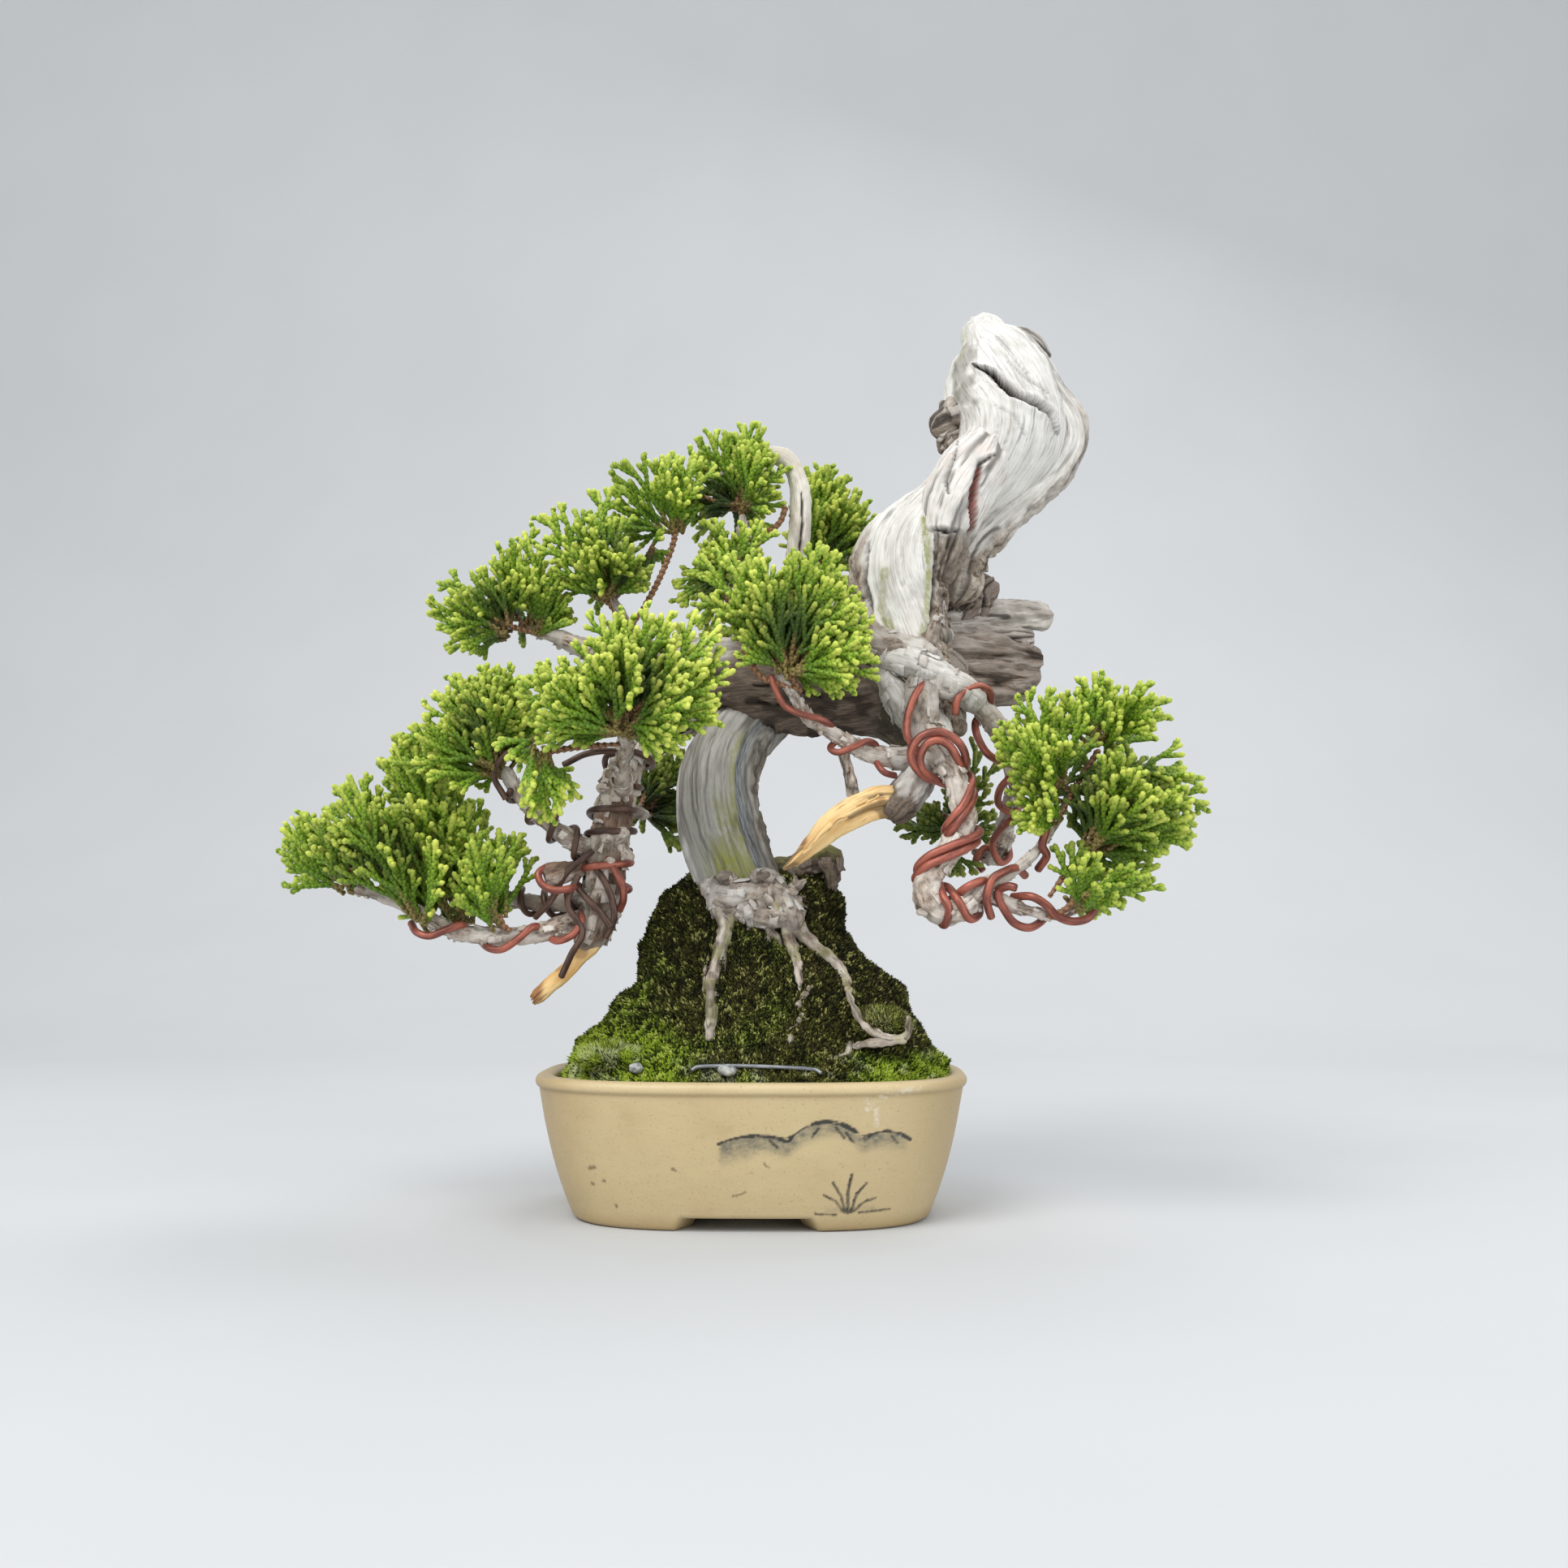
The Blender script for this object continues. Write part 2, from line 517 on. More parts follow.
def finishKeptNodes():
    # the soil and the two drain meshes keep their own shape and take a finish here
    earth = Finish("damp_grit_soil", Roughness=0.95, Specular_IOR_Level=0.2)
    here = earth.body()
    grit = earth.node("ShaderNodeTexVoronoi", None, {"Vector": here, "Scale": 0.55}, out="Distance")
    fine = earth.cloud(here, 1.4, 4.0, 0.6)
    colour = earth.mix(tint(40, 30, 20), tint(84, 66, 44), fine.between(0.35, 0.7))
    earth.feed("Base Color", earth.mix(colour, tint(122, 104, 78), fine.between(0.62, 0.75) * 0.6))
    earth.feed("Normal", earth.bump(grit * 0.7 + fine * 0.5, 0.8, 0.9))
    mesh = Finish("black_plastic_mesh", Roughness=0.55)
    place = mesh.body()
    warp = mesh.node("ShaderNodeTexWave", {"wave_type": "BANDS", "bands_direction": "X"}, {"Vector": place, "Scale": 0.35})
    weft = mesh.node("ShaderNodeTexWave", {"wave_type": "BANDS", "bands_direction": "Y"}, {"Vector": place, "Scale": 0.35})
    thread = mesh.node("ShaderNodeMath", {"operation": "MAXIMUM"}, {0: warp, 1: weft})
    mesh.feed("Base Color", mesh.mix(tint(10, 10, 10), tint(46, 47, 46), thread.between(0.45, 0.8)))
    mesh.feed("Normal", mesh.bump(thread, 0.3, 0.8))
    for name, finish in (("soil", earth), ("drain_mesh_left", mesh), ("drain_mesh_right", mesh)):
        nodes[name].data.materials.clear()
        nodes[name].data.materials.append(finish.material)


finishKeptNodes()
print("pot ready")


# the steep mossy mound

mound = {
    "rings": [(23.2, 0.6, 35.9, 25.9), (24.8, 0.6, 36.1, 26.1), (27, 1, 35, 25), (31, 1.3, 32.6, 23), (36, 1.6, 27.6, 20.6),
              (41, 3.2, 25.4, 18.6), (46, -0.4, 21.6, 16.6), (51.5, -1.6, 17.8, 14.6), (58, -0.8, 16.6, 12.4),
              (62.5, 0.4, 12.6, 9)],
    "squareness": 2.3, "sides": 300, "blades": 72000, "bladeLength": (0.45, 1.1), "bladeWidth": 0.4,
    "olive": (72, 70, 30), "green": (70, 100, 22), "bright": (142, 168, 44), "pale": (206, 212, 172), "tan": (170, 164, 108),
}


def moundSurface(u, v):
    # u runs round, v from 0 at the rim of the pot to 1 at the top; gives places on the rough bank of moss
    rings = np.array(mound["rings"])
    at = v * (len(rings) - 1)
    z, centre, a, b = [np.interp(at, np.arange(len(rings)), rings[:, k]) for k in range(4)]
    x, y = ovalPoint(a, b, mound["squareness"], u * twoPi)
    flat = np.stack([x, y, z * 1.4], -1)
    swell = 1 + 0.06 * noise(flat, 9.0, 41) * (z > 27.5)
    p = np.stack([centre + x * swell, y * swell, z], -1)
    out = unit(np.stack([x / a, y / b * 1.2, np.full(x.shape, 0.35)], -1))
    lumps = 1.25 * rough(p, 6.5, 42, 3) + 0.35 * rough(p, 1.7, 43, 2)
    hollow = -0.9 * smooth(0.15, 0.55, rough(p, (5, 5, 9), 44, 2)) * smooth(30, 36, z)
    return p + out * (lumps + hollow)[..., None] * smooth(23, 26, z)[..., None], out


def mossZones(p):
    # how green, how pale and how brown the moss is at each place
    x, y, z = p[..., 0], p[..., 1], p[..., 2]
    patch = rough(p, 5.0, 51, 3)
    low = smooth(41, 29, z)
    left = smooth(-2, -20, x + 0.35 * (z - 30))
    right = smooth(15, 25, x)
    green = np.clip(low * (0.25 + 0.75 * left + 0.7 * right * smooth(31, 27, z)) + 0.55 * patch + 0.3 * left, 0, 1)
    green = np.maximum(green, 0.6 * smooth(0, 10, y) * smooth(-0.3, 0.4, patch))
    green *= 1 - 0.75 * smooth(6, 12, x) * smooth(29, 33, z) * smooth(2, -6, y)
    pale = smooth(-0.05, 0.3, rough(p, 3.4, 52, 2)) * smooth(30, 26.5, z) * smooth(-12, -24, x)
    pale = np.maximum(pale, 0.5 * smooth(0.25, 0.5, noise(p, 2.1, 53)) * smooth(31, 26, z))
    brown = smooth(0.15, 0.5, rough(p, (4, 4, 7), 54, 3)) * smooth(28, 36, z) * (0.45 + 0.55 * smooth(2, 10, x))
    shade = 0.45 * smooth(32, 43, z) + 0.55 * smooth(-0.15, 0.45, rough(p, (5, 5, 7), 56, 3)) * smooth(28, 33, z)
    return green, pale, brown, np.clip(shade, 0, 1)


def mossFinish(name, asBlades):
    moss = Finish(name, Roughness=0.9, Specular_IOR_Level=0.15)
    g = mound
    green, pale, brown, shade = moss.channels("zone")
    tone = moss.value("tone")
    fine = moss.cloud(moss.body(), 1.3, 3.0, 0.6)
    colour = moss.mix(tint(*g["olive"]), tint(*g["green"]), (green * 1.1 + fine * 0.5 - 0.3).held())
    colour = moss.mix(colour, tint(*g["bright"]), (green * 1.5 - 0.75 + tone * 0.5).held())
    colour = moss.mix(colour, tint(86, 68, 46), (brown * 0.8).held())
    colour = moss.mix(colour, tint(18, 22, 8), (shade * (1.15 - tone)).held())
    colour = moss.mix(colour, tint(*g["pale"]), (pale * (tone * 0.9 + 0.25)).held())
    if asBlades:
        age = moss.value("age")
        colour = moss.mix(colour, tint(16, 17, 7), (tone.between(0.56, 0.2) * 0.9).held())
        colour = moss.mix(colour, tint(20, 20, 9), ((1 - age) * 0.4).held())
        colour = moss.mix(colour, tint(*g["tan"]), (tone.between(0.84, 0.95) * 0.65).held())
        colour = moss.mix(colour, tint(186, 200, 84), (age.between(0.4, 1.0) * tone.between(0.6, 0.9) * (green * 0.5 + 0.25)).held())
    else:
        colour = moss.mix(colour, tint(20, 19, 10), 0.5)
        moss.feed("Normal", moss.bump(fine, 0.5, 0.8))
    moss.feed("Base Color", colour)
    return moss.material


def addBlades(shape, root, wild, tip, across, width, depth, zone, tone, **more):
    # tiny closed blades, each with three corners under the surface and a tip
    sideways = unit(np.cross(wild, across))
    other = np.cross(wild, sideways)
    base = root - wild * depth
    corners = [base + width * (sideways * math.cos(a) + other * math.sin(a)) for a in (0.3, 2.4, 4.5)]
    ids = np.arange(len(root))[:, None] * 4
    tris = np.concatenate([ids + three for three in ([0, 2, 1], [0, 1, 3], [1, 2, 3], [2, 0, 3])])
    shape.add(np.stack([*corners, tip], 1), None, tris, zone=np.repeat(zone, 4, 0), age=np.tile([0, 0, 0, 1.0], len(root)),
              tone=np.repeat(tone, 4), **more)


def makeMound():
    g = mound
    sides, rows = g["sides"], 200
    v, u = np.meshgrid(np.linspace(0, 1, rows), np.arange(sides) / sides, indexing="ij")
    grid, _ = moundSurface(u, v)
    # the top closes in rounded steps towards the trunk
    top, centre = [], grid[-1].mean(0)
    for share, rise in ((0.94, 0.7), (0.84, 1.3), (0.7, 1.7), (0.5, 2.0), (0.3, 2.1), (0.12, 2.2)):
        ring = centre + (grid[-1] - centre) * (share, share, 0.6) + (0, 0, rise)
        top.append(ring + 0.5 * rough(ring, 3.0, 45, 2)[:, None] * (0, 0, 1))
    under = [grid[0] * (0.9, 0.9, 0) + (0, 0, 22.6), grid[0] * (0.4, 0.4, 0) + (0, 0, 22.4)]
    grid = np.concatenate([np.array(under[::-1]), grid, np.array(top)])
    zone = np.concatenate([np.stack(mossZones(grid), -1).reshape(-1, 4), np.zeros((2, 4))])
    bank = Shape()
    bank.add(*closedGrid(grid), zone=zone, tone=np.full(len(zone), 0.5))
    bank.make("moss_bank", mossFinish("dark_moss_bank", False), "moss_mound", "moss")
    # tufts: many tiny closed blades standing on the bank, front and back
    rng = np.random.default_rng(7)
    count = g["blades"]
    rowHeights = np.linspace(0, 1, 400)
    widths = np.interp(rowHeights * (len(g["rings"]) - 1), np.arange(len(g["rings"])), [r[2] for r in g["rings"]])
    steps = np.concatenate([[0], np.cumsum(widths)])
    v = np.interp(rng.random(count), steps / steps[-1], np.linspace(0, 1, 401)) * 0.94 + 0.06
    u = rng.random(count)
    root, out = moundSurface(u, v)
    clump = noise(root, 1.6, 61) * 0.5 + 0.5
    size = rng.uniform(*g["bladeLength"], count) * (0.55 + 0.8 * clump)
    wild = unit(out + (0, 0, 0.55) + rng.normal(0, 0.34, (count, 3)) + 0.5 * np.stack([noise(root, 1.2, s) for s in (62, 63, 64)], -1))
    tip = root + wild * size[:, None]
    across = rng.normal(0, 1, (count, 3))
    width = g["bladeWidth"] * rng.uniform(0.7, 1.4, count)[:, None]
    zone = np.stack(mossZones(root), -1)
    tone = np.clip(0.8 * rng.random(count) + 0.1 + 0.36 * noise(root, 0.9, 66), 0, 1)
    for name, keep in (("moss_tufts_front", root[:, 1] < 0), ("moss_tufts_back", root[:, 1] >= 0)):
        place = np.repeat(np.stack([tone[keep] * 0.9 + 0.05, zone[keep, 0] * 0.8 + 0.05], -1), 4, 0)
        place = place + np.tile([[0, 0], [0.02, 0], [0, 0.02], [0.02, 0.05]], (int(keep.sum()), 1))
        tufts = Shape()
        addBlades(tufts, root[keep], wild[keep], tip[keep], across[keep], width[keep], 0.25, zone[keep], tone[keep], layout=place)
        tufts.make(name, mossFinish(name.replace("moss_tufts", "living_moss"), True), "moss_mound", "moss")


makeMound()
print("moss mound ready")


# wood: every limb is a ring-by-ring sweep with grain, cracks, bark plates and marks of age

def woodFinish(name, bare=((228, 226, 221), (186, 182, 176), (128, 124, 120)), bark=((206, 196, 184), (164, 150, 136), (94, 78, 64)),
               char=(88, 76, 66), rosy=(232, 208, 198), lichen=(140, 142, 72), streak=1.0, matt=0.82, polish=0.25):
    wood = Finish(name, Specular_IOR_Level=polish)
    crack, green, barky, old = wood.channels("marks")
    blush, dusk, slate, rust = wood.channels("tinge")
    streaky = wood.cloud(wood.place("grain", (1.5, 1.5, 0.09)), 1.0, 3.0, 0.6)
    thin = wood.cloud(wood.place("grain", (5.5, 5.5, 0.3)), 1.0, 3.0, 0.65)
    patch = wood.cloud(wood.place("grain", (0.35, 0.35, 0.16)), 1.0, 3.0, 0.6)
    scale = wood.cloud(wood.place("grain", (1.1, 1.1, 0.55)), 1.0, 4.0, 0.7)
    grit = wood.cloud(wood.place("grain", (3.6, 3.6, 2.4)), 1.0, 3.0, 0.7)
    colour = wood.mix(tint(*bare[1]), tint(*bare[0]), (streaky.between(0.34, 0.56) * 0.6 + patch.between(0.35, 0.6) * 0.5).held())
    colour = wood.mix(colour, tint(*bare[2]), thin.between(0.56, 0.72) * (0.62 * streak))
    colour = wood.mix(colour, tint(*[c * 0.72 for c in bare[2]]), streaky.between(0.60, 0.68) * (0.5 * streak))
    skin = wood.mix(tint(*bark[2]), tint(*bark[1]), scale.between(0.33, 0.5))
    skin = wood.mix(skin, tint(*bark[0]), (scale.between(0.5, 0.66) * 0.8 + patch.between(0.55, 0.7) * 0.3).held())
    skin = wood.mix(skin, tint(*[c * 0.8 for c in bark[2]]), grit.between(0.58, 0.7) * 0.55)
    colour = wood.mix(colour, skin, barky)
    colour = wood.mix(colour, tint(*rosy), blush * 0.5)
    colour = wood.mix(colour, tint(96, 92, 78), (dusk * (patch.between(0.3, 0.6) * 0.5 + streaky.between(0.35, 0.6) * 0.5 + 0.25)).held())
    colour = wood.mix(colour, wood.mix(tint(84, 87, 90), tint(142, 145, 146), thin.between(0.4, 0.6)), slate)
    colour = wood.mix(colour, wood.mix(tint(*char), tint(*[c * 1.5 for c in char]), thin.between(0.4, 0.62)), old)
    colour = wood.mix(colour, tint(*lichen), (green * (patch.between(0.3, 0.6) * 0.5 + scale.between(0.35, 0.6) * 0.5)).held())
    colour = wood.mix(colour, tint(38, 31, 27), crack)
    colour = wood.mix(colour, wood.mix(tint(92, 50, 44), tint(158, 92, 80), thin.between(0.4, 0.6)), rust)
    wood.feed("Base Color", colour)
    wood.feed("Roughness", thin * 0.15 + (matt - 0.06))
    fine = wood.bump(thin, 0.16, 0.55)
    wood.feed("Normal", wood.bump(scale * barky + grit * (barky * 0.35), 0.55, 0.7, fine))
    return wood.material


woodLooks = {
    # swell (size, depth), grooves (width, length, depth), cracks (width, length, depth, share), bark depth, fine grain depth
    "silver": {"swell": (9.0, 0.5), "groove": (1.5, 26.0, 0.34), "crack": (1.9, 30.0, 0.4, 0.2), "bark": 0.4, "fine": 0.07},
    "pale": {"swell": (8.0, 0.6), "groove": (1.2, 16.0, 0.3), "crack": (2.4, 22.0, 0.42, 0.18), "bark": 0.65, "fine": 0.08},
    "log": {"swell": (6.0, 0.8), "groove": (1.3, 9.0, 0.4), "crack": (1.8, 10.0, 0.6, 0.22), "bark": 0.5, "fine": 0.16},
    "twig": {"swell": (2.6, 0.26), "groove": (0.8, 5.0, 0.1), "crack": (1.2, 4.0, 0.12, 0.18), "bark": 0.3, "fine": 0.1},
    "limb": {"swell": (3.6, 0.5), "groove": (1.0, 7.0, 0.16), "crack": (1.5, 5.0, 0.26, 0.18), "bark": 0.46, "fine": 0.12},
    "splint": {"swell": (4.0, 0.25), "groove": (0.7, 14.0, 0.28), "crack": (1.0, 12.0, 0.26, 0.2), "bark": 0.1, "fine": 0.05},
}


markKeys, tingeKeys = ("crack", "green", "bark", "old"), ("blush", "dusk", "slate", "rust")
endProfiles = {
    # share of the radius left and rise in radii, ring by ring towards the tip
    "round": ((0.92, 0.36), (0.76, 0.64), (0.52, 0.84), (0.25, 0.95)), "cut": ((0.96, 0.10), (0.82, 0.14), (0.5, 0.1), (0.2, 0.12)),
    "torn": ((0.8, 0.5), (0.6, 0.7), (0.4, 0.5), (0.2, 0.6)),
}


def addLimb(shape, route, look, sides=64, step=0.4, start=(0, 0, 1), twist=0.0, seed=1, bark=0.0, lobes=(), stamps=(),
            ends=("round", "round"), old=0.0, flat=None):
    g = woodLooks[look]
    path = smoothRoute(route, step)
    along = arcLength(path)
    tangent, sideA, sideB = routeFrames(path, start)
    turn = np.arange(sides) / sides * twoPi
    s, t = np.meshgrid(along, turn, indexing="ij")
    out = np.cos(t)[..., None] * sideA[:, None] + np.sin(t)[..., None] * sideB[:, None]
    radius = path[:, 3][:, None] * np.ones(sides)
    mean = max(path[:, 3].mean(), 0.8)
    t2 = t + twist * s
    grain = np.stack([np.cos(t2) * mean, np.sin(t2) * mean, s + seed * 7.3], -1)
    if flat:
        # an oval section: flatten along one direction
        direction, amount = flat
        radius = radius * (1 - amount * (out @ unit(direction)) ** 2)
    for count, depth, phase in lobes:
        radius = radius * (1 + depth * np.cos(count * t2 + phase + 0.6 * np.sin(s / 11 + phase)))
    place = path[:, None, :3] + out * radius[..., None]
    size = np.minimum(1, path[:, 3] / 3.0)[:, None]
    push = g["swell"][1] * rough(place, g["swell"][0], seed, 3)
    w, l, d = g["groove"]
    lines = noise(grain / (w, w, l), 1.0, seed + 1) * 0.65 + noise(grain / (w * 0.5, w * 0.5, l * 0.5), 1.0, seed + 2) * 0.35
    push = push + d * lines * size
    w, l, d, share = g["crack"]
    fine = noise(grain / (w, w, l), 1.0, seed + 3) + 0.2 * noise(grain / (w / 3, w / 3, l / 4), 1.0, seed + 4)
    split = smooth(share * 1.15, share * 0.35, np.abs(fine)) * smooth(0.02, 0.4, noise(grain, (6, 6, 14), seed + 5))
    push = push - d * split * size
    amount = bark(place, out, s) if callable(bark) else np.full(s.shape, float(bark))
    scales = noise(grain / (1.2, 1.2, 2.6), 1.0, seed + 6) + 0.5 * noise(grain / (0.6, 0.6, 1.1), 1.0, seed + 7)
    plates = smooth(-0.25, 0.1, scales) + 0.5 * smooth(0.25, 0.4, scales)
    push = push + amount * g["bark"] * (plates - 0.6) * np.maximum(size, 0.5)
    push = push + g["fine"] * noise(place, 0.7, seed + 8)
    crack = np.clip(split * (0.66 - 0.25 * amount) + amount * 0.35 * smooth(-0.1, -0.45, scales), 0, 1)
    marks = {key: np.zeros(s.shape) for key in markKeys + tingeKeys}
    marks.update(crack=crack, bark=amount.copy(), old=np.full(s.shape, float(old)))
    for stamp in stamps:
        more, change = stamp(place, out, s, t)
        push = push + more
        for key, value in change.items():
            if key == "bare":
                marks["bark"] = marks["bark"] * (1 - value)
                marks["crack"] = marks["crack"] * (1 - 0.7 * value)
            else:
                marks[key] = np.maximum(marks[key], value)
    place = place + out * push[..., None]
    rows, grains = [place], [grain]
    extra = {k: [v] for k, v in marks.items()}
    for which, kind in enumerate(ends):
        edge, direction = (0, -1) if which == 0 else (-1, 1)
        centre, r = path[edge, :3], path[edge, 3]
        ahead = tangent[edge] * direction
        ragged, tip = 0.0, []
        if kind == "torn":
            ragged = 0.9 * noise(np.stack([np.cos(turn) * 3, np.sin(turn) * 3, turn * 0], -1), 0.7, seed + 9)[:, None]
        for share, rise in endProfiles[kind]:
            row = centre + (place[edge] - centre) * share + ahead * (r * rise + r * ragged * share)
            tip.append(row + 0.12 * r * noise(row, 1.1, seed + 10)[:, None] * ahead)
        tipGrain = np.repeat(grain[edge][None], 4, 0) * np.array([0.9, 0.7, 0.5, 0.25])[:, None, None]
        tipGrain[..., 2] = grain[edge][0, 2] + direction * np.array([0.3, 0.6, 0.9, 1.1])[:, None] * r
        added = [(rows, np.array(tip)), (grains, tipGrain)] + [(extra[k], np.repeat(marks[k][edge][None], 4, 0)) for k in extra]
        for parts, new in added:
            parts.insert(0, new[::-1]) if which == 0 else parts.append(new)
    marks = {k: np.concatenate(v) for k, v in extra.items()}

    def packed(values):
        values = values.reshape(-1, sides, values.shape[-1])
        return np.concatenate([values.reshape(-1, values.shape[-1]), values[[0, -1]].mean(1)])

    def stacked(keys):
        return packed(np.clip(np.stack([marks[k] for k in keys], -1), 0, 1))

    shape.add(*closedGrid(np.concatenate(rows)), marks=stacked(markKeys), grain=packed(np.concatenate(grains)), tinge=stacked(tingeKeys))
    return path


def addFlakes(shape, path, density, rng, worn):
    # curling flakes of bark, thin closed plates standing on the limb
    tangent, sideA, sideB = routeFrames(path)
    for _ in range(int(len(path) * 0.3 * density)):
        i = rng.integers(2, len(path) - 2)
        r = path[i, 3]
        angle = rng.uniform(0, twoPi)
        out = sideA[i] * math.cos(angle) + sideB[i] * math.sin(angle)
        across = np.cross(tangent[i], out)
        n, m = 5, 4
        width, length = r * rng.uniform(0.5, 0.9), r * rng.uniform(0.6, 1.3)
        u, v = np.meshgrid(np.linspace(-1, 1, n), np.linspace(-1, 1, m), indexing="ij")
        curl = rng.uniform(0.05, 0.35)
        bend = u * width / r / 2
        top = (path[i, :3] + (r * 1.04 + 0.12 + curl * r * 0.5 * np.maximum(v, 0) ** 2 + 0.06 * rng.normal(size=u.shape))[..., None]
               * (out * np.cos(bend)[..., None] + across * np.sin(bend)[..., None])
               + tangent[i] * (v * length / 2 + 0.1 * rng.normal(size=u.shape))[..., None])
        low = top - out * 0.22
        grid = np.concatenate([top.reshape(-1, 3), low.reshape(-1, 3)])
        quads = gridFaces(n, m, closed=False)
        edge = [(k, k + 1) for k in range(m - 1)] + [(m * (k + 1) - 1, m * (k + 2) - 1) for k in range(n - 1)]
        edge += [(n * m - 1 - k, n * m - 2 - k) for k in range(m - 1)] + [(m * (n - 1 - k), m * (n - 2 - k)) for k in range(n - 1)]
        rim = [[b, a, a + n * m, b + n * m] for a, b in edge]
        quads = np.concatenate([quads, quads[:, ::-1] + n * m, np.array(rim)])
        count = len(grid)
        shape.add(grid, quads, None, marks=np.tile([0.0, 0.0, rng.uniform(0.0, 0.5), worn], (count, 1)),
                  grain=grid * 0.7 + rng.uniform(0, 50), tinge=np.zeros((count, 4)))


def frontOf(out):
    return smooth(-0.15, 0.3, -out[..., 1])


def cleft(line, width, depth, dark=1.0, lip=0.0):
    # a split in the wood, drawn as a line seen from the front
    def stamp(place, out, s, t):
        d, where = toLine(place[..., 0], place[..., 2], line)
        d = d + 0.3 * width * noise(place, 1.3, 77)
        wide = width * (0.35 + 0.65 * np.sin(np.clip(where, 0.02, 0.98) * math.pi))
        push = -depth * smooth(wide, wide * 0.1, d) + lip * smooth(wide * 2.6, wide * 1.2, d) * smooth(wide * 0.7, wide * 1.3, d)
        return push * frontOf(out), {"crack": dark * smooth(wide * 0.95, wide * 0.35, d) * frontOf(out)}
    return stamp


def stroke(line, width, key, amount=1.0, ragged=0.4):
    # a band of colour along a line seen from the front
    def stamp(place, out, s, t):
        d, _ = toLine(place[..., 0], place[..., 2], line)
        d = d + ragged * width * noise(place, (1.6, 1.6, 3.0), 78)
        band = smooth(width, width * 0.45, d) * frontOf(out)
        return 0 * band, {key: amount * band}
    return stamp


def knob(x, z, radius, height, rings=0, dark=0.0):
    # a healed knot, with rings and a dark heart where they are asked for
    def stamp(place, out, s, t):
        d = np.hypot(place[..., 0] - x, place[..., 2] - z) * (1 + 0.15 * noise(place, 2.0, 79))
        bump = height * smooth(radius, radius * 0.25, d)
        if rings:
            bump = bump + 0.25 * np.cos(d / radius * twoPi * rings) * smooth(radius * 1.3, radius * 0.6, d)
        return bump * frontOf(out), {"crack": smooth(radius * 0.35, radius * 0.1, d) * frontOf(out) * dark}
    return stamp


